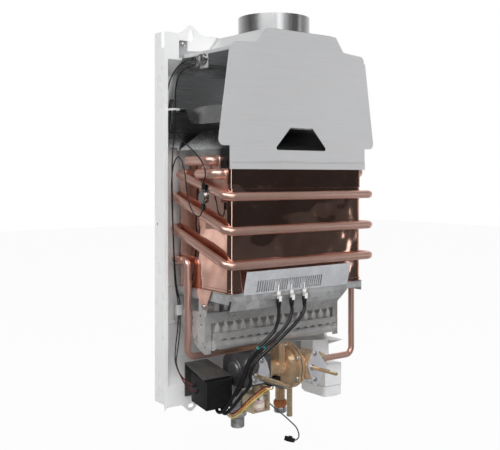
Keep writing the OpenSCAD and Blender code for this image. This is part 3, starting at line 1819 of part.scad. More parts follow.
// Cables: a tube through the points of a route, with its rings carried along without twist
function carried(dirs, v, i = 0) =
  i == len(dirs) ? [] :
  let (u = unit(v - (v * dirs[i]) * dirs[i]))
  concat([u], carried(dirs, u, i + 1));

ring_start = [0.3, -0.5, 0.2];
module cable(route, r, sides) {
  p = [for (q = route) place(q)];
  n = len(p);
  dirs = [for (i = [0:n - 1]) unit(p[min(i + 1, n - 1)] - p[max(i - 1, 0)])];
  us = carried(dirs, ring_start);
  points = [for (i = [0:n - 1], k = [0:sides - 1])
    let (a = 360 * k / sides)
    p[i] + r * (cos(a) * us[i] + sin(a) * cross(dirs[i], us[i]))];
  walls = [for (i = [0:n - 2], k = [0:sides - 1])
    let (a = i * sides + k, b = i * sides + (k + 1) % sides)
    each [[a, b + sides, b], [a, a + sides, b + sides]]];
  last = (n - 1) * sides;
  ends = [for (k = [1:sides - 2]) each [[0, k, k + 1], [last, last + k + 1, last + k]]];
  polyhedron(points, concat(walls, ends), convexity = 10);
}

// Points of a curve through the route, so many to each of its spans
function curve_at(a, b, c, d, t) =
  b + t * (c - a) / 2 + t * t * (2 * a - 5 * b + 4 * c - d) / 2
  + t * t * t * (3 * b - a - 3 * c + d) / 2;
function curve(route, per) =
  let (n = len(route) - 1)
  concat([for (i = [0:n - 1], k = [0:per - 1])
    curve_at(route[max(i - 1, 0)], route[i], route[i + 1], route[min(i + 2, n)], k / per)],
    [route[n]]);

// Ignition leads, from the boots to the underside of the ignition box
function box_low_z(depth) =
  valve_z - ignition_h + box_slope * (box_y[1] - depth) / (box_y[1] - box_y[0]);
lead_routes = [
  [[-45.4, 148.5, -130], [-47.5, 148, -142.5], [-52.5, 146, -155], [-64, 143, -166.5],
    [-76, 139, -177], [-85.5, 135, -188.5], [-91, 132, -201.5], [-94, 129, -214.5],
    [-96, 124, -226.5], [-97, 117, -238], [-99, 109.5, -250], [-103, 104, -261.5],
    [-108, 99, -271], [-111.5, 92, -274.5], [-112, 86.5, -271.5]],
  [[-20.6, 148.5, -130], [-26.5, 149, -142.5], [-36.5, 147, -154.5], [-50, 143, -167],
    [-63, 138, -178], [-75, 132, -189], [-82.5, 127, -202], [-85.5, 122.5, -217],
    [-88, 117.5, -230], [-88.5, 110, -242], [-87, 102, -250], [-85.3, 94.5, -254],
    [-87, 88.8, -256]],
  [[4.2, 148.5, -128], [-4, 150, -138], [-18, 151, -149], [-32.5, 150, -159],
    [-47.5, 147.5, -170.5], [-61.5, 143.5, -181.5], [-74.5, 139, -193], [-82.5, 135, -205],
    [-84.5, 131, -217], [-80.5, 127, -228.5], [-82.5, 123, -238], [-89.5, 118, -247.5],
    [-95.5, 113, -258], [-101, 106.5, -268], [-103.5, 98, -276], [-103, 90, -276.5],
    [-102, 86.3, -272.5]]
];
lead_end_depth = 86;
lead_end_z = box_low_z(lead_end_depth) - 2 * seat;
lead_ends = [
  [-112, lead_end_depth, lead_end_z], [box_left + ignition_w + 2 * seat, 88.3, -256.3],
  [-102, lead_end_depth, lead_end_z]
];
lead_start_z = ceramic_top - ceramic_l + boot_over - boot_l - seat;
lead_per = 2;
lead_sides = 8;

module ignition_leads() {
  color(black)
    for (i = [0:len(lead_routes) - 1])
      cable(curve(concat([[electrode_xs[i], electrode_depth, lead_start_z]], lead_routes[i],
        [lead_ends[i]]), lead_per), lead_od / 2, lead_sides);
}

// Wire hank: its loops stand upright beside the hood's rear panel
loops = 2;
loop_rings = 24;
wire_sides = 6;
loop_gap = 0.8;
hank_x = -155.5;
hank_depth = 28.5;
hank_z = 157;
hank_half_w = 7.5;
hank_half_h = 25;
hank = [for (i = [0:loops * loop_rings])
  let (a = 180 + 360 * i / loop_rings)
  [hank_x + (wire_od + loop_gap) * i / loop_rings, hank_depth + hank_half_w * cos(a),
    hank_z + hank_half_h * sin(a)]];
hank_in = [[-135.1, 52.3, 240.6], [-139, 47.5, 239.5], [-147, 38, 231], [-153.5, 27, 213],
  [-155.5, 21.5, 193], [-155.5, 21, 174]];
hank_out = [[-149.6, 23, 145], [-149, 32, 136], [-150.5, 44, 128], [-152.5, 61, 119],
  [-153, 84, 106], [-153, 104, 93], [-153, 115, 79], [-151, 113, 67], [-148.7, 104, 60]];
hank_wire = concat(hank_in, hank, hank_out);
least_gap = min([for (i = [0:len(hank_wire) - 1], j = [0:len(hank_wire) - 1])
  if (j > i + loop_rings / 3) norm(hank_wire[i] - hank_wire[j])]) - wire_od;
echo(least_gap_of_hank = least_gap);
long_wire = [
  [-135.1, 52.3, 230.6], [-139, 46, 228.5], [-144, 37, 219], [-146, 30, 200], [-146, 28.5, 170],
  [-146, 28.5, 140], [-149, 27.5, 115], [-152, 29, 85], [-152, 30, 30], [-150, 30, -40],
  [-146, 28, -90], [-139, 24.5, -117], [-137.9, 24, -131], [-139.4, 25, -158],
  [-147, 31, -184], [-154, 41, -203], [-153.5, 50, -218], [-146, 58, -231],
  [-137.8, 65, -237]
];
return_wire = [
  [-148.6, 103, 20], [-150, 98, 12], [-152, 87, 15], [-153, 76, 30], [-153, 69, 52],
  [-153, 62, 82], [-154, 49, 97], [-155, 37, 84], [-155.4, 33, 55], [-154, 34, 0],
  [-151, 34, -55], [-145, 31, -98], [-136.9, 26.5, -118], [-135.3, 24, -131],
  [-137.4, 28, -158], [-146, 36, -184], [-155.5, 46, -204], [-155, 56, -221],
  [-147, 64, -239], [-137.8, 71, -245]
];

module thermostat_wires() {
  color([0.14, 0.05, 0.06]) {
    cable(hank_wire, wire_od / 2, wire_sides);
    cable(long_wire, wire_od / 2, wire_sides);
    cable(return_wire, wire_od / 2, wire_sides);
  }
}

tie_z = 166;
tie_t = 0.6;
tie_w = 3;
tie_x = [-157.4, -143.3];
tie_depth = [18.2, 38.8];
clip_x = [-140.7, -132.7];
clip_depth = [20.5, 28];
clip_z = [-139, -124];
clip_hole = [6, 4.4];
clip_hole_x = -136.6;
clip_hole_depth = 24.4;

module wire_clips() {
  color(ceramic) {
    along_z(tie_z, tie_z + tie_w)
      difference() {
        round_rect([tie_x[0], tie_depth[0]], [tie_x[1], tie_depth[1]], tie_w);
        round_rect([tie_x[0] + tie_t, tie_depth[0] + tie_t],
          [tie_x[1] - tie_t, tie_depth[1] - tie_t], tie_w - tie_t);
      }
    along_z(clip_z[0], clip_z[1])
      difference() {
        round_rect([clip_x[0], clip_depth[0]], [clip_x[1], clip_depth[1]], tie_t);
        translate([clip_hole_x, clip_hole_depth])
          oblong(clip_hole[0], clip_hole[1]);
      }
  }
}

// Wires of the microswitch, and the hanging lead with its plug
switch_wires = [
  [[-24, 103, -248], [-32, 111, -247.5], [-46, 117.5, -245], [-62, 120, -250],
    [-76, 116, -260], [-84, 108, -272], [-91, 96, -281], [-95, 88, -276],
    [-95.2, 85, -266.1]],
  [[-19, 103, -248], [-30, 114.5, -249], [-46, 120.5, -247], [-62, 123, -252.5],
    [-77, 119, -263], [-86, 110, -276], [-92, 97, -285], [-95.2, 83, -278],
    [-95.2, 80, -265.3]]
];
hanging_lead = [
  [-33.6, 100, -267], [-27, 100.5, -271.5], [-11, 98, -284.5], [8, 95.5, -299],
  [25.5, 92, -313], [40, 88, -325], [48, 85, -336], [50.5, 83, -344], [47, 81, -348.5],
  [42.8, 80, -348.2]
];
plug = [16, 10, 7];
plug_center = [34.5, 80, -345.6];
plug_lean = 18;
plug_latch = [6, 4, 2.5];

module control_wires() {
  color([0.85, 0.5, 0.15])
    for (route = switch_wires)
      cable(route, wire_od / 2, wire_sides);
  color([0.3, 0.33, 0.36])
    cable(hanging_lead, wire_od / 2, wire_sides);
}

module lead_plug() {
  color(black)
    translate(place(plug_center))
      rotate([0, plug_lean, 0]) {
        cube(plug, center = true);
        translate([0, 0, (plug[2] + plug_latch[2]) / 2])
          cube([plug_latch[0], plug_latch[1], plug_latch[2] + fit], center = true);
      }
}

back_plate();
hood_front_panel();
hood_rear_panel();
hood_roof();
hood_baffle();
hood_collector();
flue_collar();
flue_thermostat();
combustion_chamber();
fin_block_case();
fins();
heat_tubes();
coil();
left_pipe();
right_pipe();
overheat_thermostat();
chamber_support();
grille_plate();
air_deflector();
electrodes();
electrode_bracket();
electrode_boots();
ignition_leads();
burner_side_left();
burner_side_right();
burner_front_rail();
burner_rear_rail();
burner_blades();
gas_manifold();
gas_jets();
gas_riser();
gas_valve_body();
gas_valve_plate();
gas_spindle();
gas_inlet();
inlet_bracket();
solenoid_frame();
solenoid_coil();
water_valve_body();
diaphragm();
diaphragm_cover();
screws();
water_valve_plate();
water_spindle();
union_nut();
water_inlet();
hot_outlet();
drain_valve();
microswitch();
switch_lever();
ignition_box();
ignition_bracket();
battery_bracket();
battery_box();
battery_lid();
battery();
wire_clips();
thermostat_wires();
control_wires();
lead_plug();
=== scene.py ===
"""Gas water heater with its cover off: looks, wiring, small parts, camera and light round the frame."""

import math

import bmesh
import bpy
from mathutils import Matrix, Vector


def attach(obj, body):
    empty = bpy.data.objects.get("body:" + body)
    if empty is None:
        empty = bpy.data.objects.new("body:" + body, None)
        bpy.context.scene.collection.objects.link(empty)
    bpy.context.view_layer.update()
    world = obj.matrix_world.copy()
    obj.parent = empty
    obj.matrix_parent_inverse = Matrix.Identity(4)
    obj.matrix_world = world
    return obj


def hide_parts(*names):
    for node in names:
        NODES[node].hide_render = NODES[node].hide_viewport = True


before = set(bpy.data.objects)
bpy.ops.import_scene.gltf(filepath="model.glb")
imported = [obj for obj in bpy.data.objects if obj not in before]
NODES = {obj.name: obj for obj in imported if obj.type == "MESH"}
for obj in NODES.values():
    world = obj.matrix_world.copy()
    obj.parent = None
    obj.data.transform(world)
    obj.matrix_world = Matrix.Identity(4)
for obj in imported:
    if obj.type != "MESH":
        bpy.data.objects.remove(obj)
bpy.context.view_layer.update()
scene = bpy.context.scene


def M(x, depth, z):
    """The same point for Maker: in millimetres, before the scale."""
    return Vector((x, -depth, z))


def link(obj):
    scene.collection.objects.link(obj)
    return obj


class Maker:
    """Collects shapes in one bmesh, in millimetres, and turns them into one piece."""

    def __init__(self):
        self.bm = bmesh.new()

    def box(self, lo, hi, matrix=None, bevel=0.0):
        """A box between two corners [x, depth, z]."""
        x0, d0, z0 = lo
        x1, d1, z1 = hi
        m = matrix or Matrix.Identity(4)
        vs = [self.bm.verts.new(m @ Vector((x, y, z))) for x in (x0, x1) for y in (-d1, -d0) for z in (z0, z1)]
        corners = [(0, 1, 3, 2), (4, 6, 7, 5), (0, 4, 5, 1), (2, 3, 7, 6), (0, 2, 6, 4), (1, 5, 7, 3)]
        faces = [self.bm.faces.new([vs[i] for i in f]) for f in corners]
        if bevel:
            edges = list({e for f in faces for e in f.edges})
            bmesh.ops.bevel(self.bm, geom=edges, offset=bevel, segments=2, affect="EDGES", profile=0.6)

    def ring(self, centre, u, v, r, sides):
        """The corners of a circle on the axes u and v."""
        return [self.bm.verts.new(centre + r * (math.cos(t) * u + math.sin(t) * v))
                for t in (2 * math.pi * k / sides for k in range(sides))]

    def skin(self, rings, cap):
        """Faces between rings of corners, and over both ends where cap is true."""
        sides = len(rings[0])
        for a, b in zip(rings, rings[1:]):
            for k in range(sides):
                n = (k + 1) % sides
                self.bm.faces.new((a[k], a[n], b[n], b[k]))
        if cap:
            self.bm.faces.new(rings[0][::-1])
            self.bm.faces.new(rings[-1])

    def lathe(self, start, axis, profile, sides=32, cap=True):
        """Turns [[distance along the axis, radius], ...] round an axis that starts at a point."""
        start, axis = Vector(start), Vector(axis).normalized()
        u = axis.orthogonal().normalized()
        v = axis.cross(u)
        self.skin([self.ring(start + axis * a, u, v, r, sides) for a, r in profile], cap)

    def tube(self, points, r, sides=10):
        """A round tube of radius r along points."""
        pts = [Vector(p) for p in points]
        n = len(pts)
        dirs = [(pts[min(i + 1, n - 1)] - pts[max(i - 1, 0)]).normalized() for i in range(n)]
        u = dirs[0].orthogonal().normalized()
        rings = []
        for p, d in zip(pts, dirs):
            u = (u - d * u.dot(d)).normalized()
            rings.append(self.ring(p, u, d.cross(u), r, sides))
        self.skin(rings, True)

    def prism(self, outline, start, u, v, height):
        """A flat outline of (a, b) points on the axes u and v, drawn along u x v by a height."""
        start, u, v = Vector(start), Vector(u), Vector(v)
        n = u.cross(v).normalized()
        low = [self.bm.verts.new(start + a * u + b * v) for a, b in outline]
        high = [self.bm.verts.new(start + a * u + b * v + n * height) for a, b in outline]
        self.skin([low, high], True)

    def piece(self, name, material, body="frame", smooth=40, replaces=()):
        """Ends the bmesh as an object with its body and replaced nodes; smooth is an angle."""
        me = bpy.data.meshes.new(name)
        bmesh.ops.recalc_face_normals(self.bm, faces=self.bm.faces)
        self.bm.to_mesh(me)
        self.bm.free()
        me.transform(Matrix.Scale(0.001, 4))
        obj = link(bpy.data.objects.new(name, me))
        me.materials.append(material)
        me.polygons.foreach_set("use_smooth", [True] * len(me.polygons))
        me.set_sharp_from_angle(angle=math.radians(smooth))
        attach(obj, body)
        if replaces:
            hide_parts(*replaces)
        return obj


# ---------------------------------------------------------------- camera, fitted to the photograph
cam_data = bpy.data.cameras.new("camera")
cam = link(bpy.data.objects.new("camera", cam_data))
cam.location = (-0.8102, -1.0592, 0.069)
cam.rotation_euler = (math.radians(90), 0, math.radians(-38))
cam_data.sensor_width = 36
cam_data.lens = 59.07
cam_data.shift_y = -0.098
cam_data.clip_start, cam_data.clip_end = 0.01, 50
scene.camera = cam


# ---------------------------------------------------------------- materials
class Nodes:
    """Short calls for building a node material."""

    def __init__(self, name):
        self.mat = bpy.data.materials.new(name)
        self.mat.use_nodes = True
        self.t = self.mat.node_tree
        self.bsdf = next(n for n in self.t.nodes if n.type == "BSDF_PRINCIPLED")
        self.coord = self.new("ShaderNodeTexCoord").outputs["Object"]

    def new(self, kind, **values):
        n = self.t.nodes.new(kind)
        for k, v in values.items():
            setattr(n, k, v)
        return n

    def join(self, a, b):
        self.t.links.new(a, b)

    def stretch(self, scale):
        m = self.new("ShaderNodeMapping")
        m.inputs["Scale"].default_value = scale
        self.join(self.coord, m.inputs["Vector"])
        return m.outputs["Vector"]

    def noise(self, scale, detail=3.0, rough=0.5, stretch=None, distortion=0.0):
        n = self.new("ShaderNodeTexNoise")
        n.inputs["Scale"].default_value = scale
        n.inputs["Detail"].default_value = detail
        n.inputs["Roughness"].default_value = rough
        n.inputs["Distortion"].default_value = distortion
        self.join(self.stretch(stretch) if stretch else self.coord, n.inputs["Vector"])
        return n.outputs["Fac"]

    def cells(self, scale):
        """One random colour for each cell."""
        n = self.new("ShaderNodeTexVoronoi")
        n.inputs["Scale"].default_value = scale
        self.join(self.coord, n.inputs["Vector"])
        return n.outputs["Color"]

    def ramp(self, fac, stops):
        n = self.new("ShaderNodeValToRGB")
        e = n.color_ramp.elements
        while len(e) < len(stops):
            e.new(0.5)
        for el, (pos, col) in zip(e, stops):
            el.position = pos
            el.color = (*col, 1) if len(col) == 3 else col
        self.join(fac, n.inputs["Fac"])
        return n.outputs["Color"]

    def span(self, fac, lo, hi, a=0.0, b=1.0):
        """Maps lo to hi onto a to b."""
        n = self.new("ShaderNodeMapRange")
        for k, v in (("From Min", lo), ("From Max", hi), ("To Min", a), ("To Max", b)):
            n.inputs[k].default_value = v
        self.join(fac, n.inputs["Value"])
        return n.outputs["Result"]

    def mix(self, fac, a, b):
        n = self.new("ShaderNodeMix", data_type="RGBA")
        self.join(fac, n.inputs["Factor"])
        for key, val in (("A", a), ("B", b)):
            s = next(i for i in n.inputs if i.name == key and i.type == "RGBA")
            if isinstance(val, tuple):
                s.default_value = (*val, 1)
            else:
                self.join(val, s)
        return next(o for o in n.outputs if o.type == "RGBA")

    def math(self, op, a, b):
        n = self.new("ShaderNodeMath", operation=op)
        for i, v in enumerate((a, b)):
            if isinstance(v, (int, float)):
                n.inputs[i].default_value = v
            else:
                self.join(v, n.inputs[i])
        return n.outputs[0]

    def place(self):
        """X, Y and Z in the row frame, in metres."""
        s = self.new("ShaderNodeSeparateXYZ")
        self.join(self.coord, s.inputs[0])
        return s.outputs

    def bump(self, height, strength, distance):
        n = self.new("ShaderNodeBump")
        n.inputs["Strength"].default_value = strength
        n.inputs["Distance"].default_value = distance
        self.join(height, n.inputs["Height"])
        return n

    def edge(self, radius):
        """A normal that rounds the edges off by a radius in metres."""
        n = self.new("ShaderNodeBevel", samples=4)
        n.inputs["Radius"].default_value = radius
        return n.outputs["Normal"]

    def finish(self, colour, rough, bump, edge, **values):
        """Wires colour, roughness, relief and rounded edges to the shader and sets its other values."""
        b = self.bsdf
        self.join(colour, b.inputs["Base Color"])
        if isinstance(rough, (int, float)):
            b.inputs["Roughness"].default_value = rough
        else:
            self.join(rough, b.inputs["Roughness"])
        n = self.bump(*bump)
        if edge:
            self.join(self.edge(edge), n.inputs["Normal"])
        self.join(n.outputs["Normal"], b.inputs["Normal"])
        for k, v in values.items():
            b.inputs[k.replace("_", " ")].default_value = v
        return self.mat


def times(colour, k):
    """A colour made darker or lighter, not above 1."""
    return tuple(min(1, c * k) for c in colour)


def paint(name, colour, rough=0.3):
    """Enamel with a faint orange peel under a thin coat."""
    n = Nodes(name)
    dark = times(colour, 0.96)
    col = n.ramp(n.noise(9, 4), [(0.3, dark), (0.7, colour)])
    orange_peel = n.noise(900, 2)
    r = n.span(n.noise(30, 4), 0.3, 0.7, rough * 0.85, rough * 1.15)
    return n.finish(col, r, (orange_peel, 0.08, 0.0002), 0.0006, Coat_Weight=0.25, Coat_Roughness=0.1)


def brushed(name, colour, rough, along, grain=0.05, edge=0.0005, waves=0.0, metal=1.0, painted_shade_depths=None):
    """Brushed sheet: streaks along one axis, stains and light waves; painted shade darkens it between two
    depths, given by painted_shade_depths.
    """
    n = Nodes(name)
    fine = {"x": (14, 900, 900), "z": (900, 900, 14)}[along]
    streak = n.noise(1.0, 3, 0.7, stretch=fine)
    stain = n.noise(6, 5, 0.6)
    lo, hi = times(colour, 1 - grain), times(colour, 1 + grain * 0.5)
    col = n.mix(n.span(stain, 0.35, 0.7, 0, 0.3), n.ramp(streak, [(0.3, lo), (0.7, hi)]), lo)
    # painted shade: between the two depths the colour falls to 0.12 of itself, for the shade inside the hood
    # behind its window
    if painted_shade_depths:
        depth = n.math("MULTIPLY", n.place()[1], -1)
        col = n.mix(n.span(depth, painted_shade_depths[0], painted_shade_depths[1], 0, 1), col, times(colour, 0.12))
    r = n.math("ADD", n.span(streak, 0.3, 0.7, rough - 0.06, rough + 0.06),
               n.span(stain, 0.3, 0.7, -0.04, 0.06))
    relief = n.math("ADD", n.math("MULTIPLY", streak, 0.2), n.math("MULTIPLY", n.noise(5, 2), waves))
    return n.finish(col, r, (relief, 0.1, 0.0003), edge, Metallic=metal)


def zinc(name, colour, rough, scale=70, contrast=0.3, edge=0.0005, metal=0.6):
    """Galvanised sheet with its spangle and grey stains."""
    n = Nodes(name)
    s = n.new("ShaderNodeSeparateColor")
    n.join(n.cells(scale), s.inputs[0])
    lo, hi = times(colour, 1 - contrast), times(colour, 1 + contrast * 0.4)
    base = n.ramp(s.outputs[0], [(0.0, lo), (1.0, hi)])
    stain = n.noise(25, 6, 0.65)
    col = n.mix(n.span(stain, 0.42, 0.68, 0, 0.8), base, times(colour, 0.74))
    r = n.math("ADD", n.span(s.outputs[1], 0, 1, rough - 0.07, rough + 0.07), n.span(stain, 0.4, 0.7, 0, 0.18))
    return n.finish(col, r, (n.noise(260, 3), 0.12, 0.0003), edge, Metallic=metal)


def copper(name, colour, dark, rough, dents, tint=0.5, edge=0.0004, metal=1.0):
    """Copper with heat tint, soft stains and, on sheet, the waves that it gets from handling."""
    n = Nodes(name)
    stain = n.noise(14, 6, 0.62, distortion=0.6)
    small = n.noise(120, 4, 0.6)
    base = n.ramp(stain, [(0.25, dark), (0.55, colour), (0.8, times(colour, 1.08))])
    col = n.mix(n.span(small, 0.55, 0.85, 0, tint), base, times(dark, 0.6))
    r = n.math("ADD", n.span(stain, 0.3, 0.7, rough + 0.03, rough - 0.02), n.span(small, 0.5, 0.85, 0, 0.06))
    wave = n.math("ADD", n.math("MULTIPLY", n.noise(7, 1, 0.5), dents),
                  n.math("MULTIPLY", n.noise(24, 1), dents * 0.2))
    relief = n.math("ADD", wave, n.math("MULTIPLY", n.noise(420, 3), 0.004))
    return n.finish(col, r, (relief, 0.4, 0.004), edge, Metallic=metal)


def cast(name, colour, rough, grain=0.5, scale=350, metallic=0.75, dark=0.72, edge=0.0006):
    """Cast metal with its sandy skin."""
    n = Nodes(name)
    stain = n.noise(40, 5, 0.6)
    col = n.ramp(stain, [(0.3, times(colour, dark)), (0.65, colour)])
    r = n.span(stain, 0.3, 0.7, rough + 0.08, rough - 0.06)
    return n.finish(col, r, (n.noise(scale, 4, 0.6), grain, 0.0004), edge, Metallic=metallic)


def turned(name, colour, rough, edge=0.0003, metal=0.8):
    """Turned or plated metal with fine tool marks."""
    n = Nodes(name)
    ring = n.noise(1.0, 2, 0.5, stretch=(500, 500, 500))
    stain = n.noise(50, 4)
    col = n.ramp(stain, [(0.3, times(colour, 0.8)), (0.7, colour)])
    return n.finish(col, n.span(stain, 0.3, 0.7, rough + 0.06, rough - 0.05), (ring, 0.1, 0.0003), edge,
                    Metallic=metal)


def plastic(name, colour, rough=0.4, vary=0.25, grain=0.15, edge=0.0006):
    """Plastic, rubber or ceramic with soft changes of tone."""
    n = Nodes(name)
    stain = n.noise(45, 4)
    col = n.ramp(stain, [(0.3, times(colour, 1 - vary)), (0.7, colour)])
    return n.finish(col, n.span(stain, 0.3, 0.7, rough + 0.07, rough - 0.05), (n.noise(1400, 2), grain, 0.0001),
                    edge)


def wire_two(name, low, high, at):
    """Thin wire: one colour up to a height in metres, the other above it."""
    n = Nodes(name)
    stain = n.noise(60, 3)
    up = n.span(n.place()[2], at - 0.006, at + 0.006)
    col = n.mix(up, n.ramp(stain, [(0.3, times(low, 0.6)), (0.7, low)]),
                n.ramp(stain, [(0.3, times(high, 0.6)), (0.7, high)]))
    return n.finish(col, 0.36, (n.noise(1400, 2), 0.1, 0.0001), 0.0003)


white_paint = paint("white_enamel", (0.88, 0.88, 0.875))
hood_metal = brushed("hood_sheet", (0.80, 0.80, 0.805), 0.42, "x", waves=0.25, metal=0.5)
inner_metal = brushed("inner_sheet", (0.55, 0.555, 0.56), 0.24, "x", waves=0.8)
collar_metal = brushed("collar_sheet", (0.72, 0.725, 0.73), 0.32, "z", grain=0.12)
# the collector's front slope gets painted shade between depths of 110 and 124 mm
collector_metal = brushed("collector_sheet", (0.55, 0.555, 0.56), 0.28, "x", waves=0.5, painted_shade_depths=(0.110, 0.124))
sheet_copper = copper("sheet_copper", (0.80, 0.50, 0.41), (0.60, 0.33, 0.25), 0.05, 5.0, tint=0.25)
tube_copper = copper("tube_copper", (0.90, 0.58, 0.49), (0.80, 0.48, 0.39), 0.33, 0.006, tint=0.12, edge=None,
                     metal=0.85)
fin_copper = copper("fin_copper", (0.78, 0.45, 0.34), (0.5, 0.25, 0.16), 0.3, 0.1)
galvanised = zinc("galvanised", (0.66, 0.66, 0.665), 0.36)
grille_metal = zinc("grille_sheet", (0.78, 0.79, 0.82), 0.42, scale=160, contrast=0.06, metal=0.4)
steel = zinc("burner_steel", (0.68, 0.67, 0.66), 0.30, scale=120, contrast=0.16)
blade_steel = brushed("blade_steel", (0.86, 0.85, 0.84), 0.22, "z", grain=0.1, metal=0.5)
brass_cast = cast("brass_cast", (0.93, 0.66, 0.42), 0.28, 0.3, metallic=0.7)
brass_bright = turned("brass_turned", (0.93, 0.73, 0.48), 0.2, metal=0.75)
dark_cast = cast("dark_casting", (0.20, 0.20, 0.205), 0.42, 0.6, metallic=0.8)
plate_alu = cast("plate_aluminium", (0.78, 0.78, 0.83), 0.32, 0.10, scale=900, dark=0.9, metallic=0.45)
chrome = turned("chrome", (0.55, 0.54, 0.54), 0.12, metal=1.0)
yellow_zinc = turned("yellow_zinc", (0.84, 0.72, 0.50), 0.28, metal=0.6)
pink_winding = plastic("pink_winding", (0.78, 0.55, 0.56), 0.35)
ceramic = plastic("ceramic_white", (0.86, 0.85, 0.82), 0.15, 0.06, 0.03)
rubber_black = plastic("rubber_black", (0.012, 0.012, 0.013), 0.45, 0.3, 0.4)
lead_black = plastic("lead_black", (0.014, 0.014, 0.016), 0.32, 0.3, 0.2)
black_plastic = plastic("black_plastic", (0.010, 0.010, 0.011), 0.36, 0.3, 0.25)
dark_steel = zinc("dark_steel", (0.30, 0.30, 0.29), 0.36, scale=140, contrast=0.2, metal=0.85)
white_plastic = plastic("white_plastic", (0.84, 0.84, 0.84), 0.3, 0.03, 0.08)
clip_plastic = plastic("clip_plastic", (0.7, 0.7, 0.68), 0.45, 0.1)
zinc_bright = turned("zinc_bright", (0.70, 0.70, 0.72), 0.25)
battery_skin = plastic("battery_skin", (0.12, 0.16, 0.28), 0.25, 0.2, 0.05)
wire_red = wire_two("wire_thermostat", (0.13, 0.010, 0.014), (0.010, 0.009, 0.010), -0.214)
wire_orange = plastic("wire_orange", (0.75, 0.25, 0.04), 0.38, 0.2)
wire_yellow = plastic("wire_yellow", (0.80, 0.55, 0.08), 0.38, 0.2)
wire_grey = plastic("wire_grey", (0.05, 0.06, 0.07), 0.38, 0.3)

LOOK = {
    white_paint: ["back_plate", "battery_bracket"],
    hood_metal: ["hood_front_panel", "hood_roof"],
    inner_metal: ["hood_rear_panel", "hood_baffle"],
    collar_metal: ["flue_collar"],
    collector_metal: ["hood_collector"],
    sheet_copper: ["combustion_chamber", "fin_block_case"],
    fin_copper: ["fins"],
    tube_copper: ["heat_tubes", "coil", "left_pipe", "right_pipe"],
    chrome: ["flue_thermostat", "overheat_thermostat"],
    galvanised: ["chamber_support", "air_deflector", "inlet_bracket", "gas_inlet"],
    grille_metal: ["grille_plate"],
    steel: ["burner_side_left", "burner_side_right", "burner_front_rail", "burner_rear_rail", "gas_manifold",
            "electrode_bracket"],
    blade_steel: ["burner_blades"],
    ceramic: ["electrodes"],
    rubber_black: ["electrode_boots", "diaphragm"],
    lead_black: ["ignition_leads"],
    brass_bright: ["gas_jets", "gas_spindle", "water_spindle", "drain_valve", "union_nut", "hot_outlet"],
    brass_cast: ["gas_riser", "water_valve_body", "diaphragm_cover", "water_inlet"],
    dark_cast: ["gas_valve_body"],
    plate_alu: ["gas_valve_plate", "water_valve_plate"],
    yellow_zinc: ["solenoid_frame"],
    pink_winding: ["solenoid_coil"],
    zinc_bright: ["screws"],
    black_plastic: ["microswitch", "ignition_box", "lead_plug"],
    dark_steel: ["switch_lever", "ignition_bracket"],
    white_plastic: ["battery_box", "battery_lid"],
    battery_skin: ["battery"],
    clip_plastic: ["wire_clips"],
    wire_red: ["thermostat_wires"],
    wire_orange: ["control_wires"],
}
for material, names in LOOK.items():
    for name in names:
        me = NODES[name].data
        if not me.materials:
            me.materials.append(material)
        for i in range(len(me.materials)):
            me.materials[i] = material


# ---------------------------------------------------------------- wiring
def smooth_route(points, per=6):
    """Points of a Catmull-Rom curve through a route, per points to a stretch."""
    p = [Vector(q) for q in points]
    n = len(p) - 1
    res = []
    for i in range(n):
        a, b, c, d = p[max(i - 1, 0)], p[i], p[i + 1], p[min(i + 2, n)]
        for k in range(per):
            t = k / per
            res.append(b + t * (c - a) / 2 + t * t * (2 * a - 5 * b + 4 * c - d) / 2
                       + t ** 3 * (3 * b - a - 3 * c + d) / 2)
    res.append(p[n])
    return res


def route(points):
    """Route points given as x, depth, z in millimetres, as the construction gives them."""
    return [M(*q) for q in points]


# the ignition leads, each from its boot to the ignition box
LEADS = [
    [(-45, 147.3, -121.7), (-45.4, 148.5, -130), (-47.5, 148, -142.5), (-52.5, 146, -155), (-64, 143, -166.5),
     (-76, 139, -177), (-85.5, 135, -188.5), (-91, 132, -201.5), (-94, 129, -214.5), (-96, 124, -226.5),
     (-97, 117, -238), (-99, 109.5, -250), (-103, 104, -261.5), (-108, 99, -271), (-111.5, 92, -274.5),
     (-112, 86.5, -271.5), (-112, 86, -266.5)],
    [(-20, 147.3, -121.7), (-20.6, 148.5, -130), (-26.5, 149, -142.5), (-36.5, 147, -154.5), (-50, 143, -167),
     (-63, 138, -178), (-75, 132, -189), (-82.5, 127, -202), (-85.5, 122.5, -217), (-88, 117.5, -230),
     (-88.5, 110, -242), (-87, 102, -250), (-85.3, 94.5, -254), (-87, 88.8, -256), (-92, 88.3, -256.3)],
    [(5, 147.3, -121.7), (4.2, 148.5, -128), (-4, 150, -138), (-18, 151, -149), (-32.5, 150, -159),
     (-47.5, 147.5, -170.5), (-61.5, 143.5, -181.5), (-74.5, 139, -193), (-82.5, 135, -205), (-84.5, 131, -217),
     (-80.5, 127, -228.5), (-82.5, 123, -238), (-89.5, 118, -247.5), (-95.5, 113, -258), (-101, 106.5, -268),
     (-103.5, 98, -276), (-103, 90, -276.5), (-102, 86.3, -272.5), (-102, 86, -266.5)],
]

LEAD_R = 2.55
leads = Maker()
for r in LEADS:
    leads.tube(smooth_route(route(r)), LEAD_R, 16)
leads.piece("ignition_lead_set", lead_black, smooth=60, replaces=["ignition_leads"])

marks = Maker()
for r, at in ((LEADS[0], 0.31), (LEADS[1], 0.36)):  # at: share of the lead's length
    pts = smooth_route(route(r))
    i = int(at * len(pts))
    marks.tube(pts[i:i + 2], LEAD_R + 0.12, 16)
marks.piece("lead_marks", plastic("mark_teal", (0.02, 0.35, 0.33), 0.4))

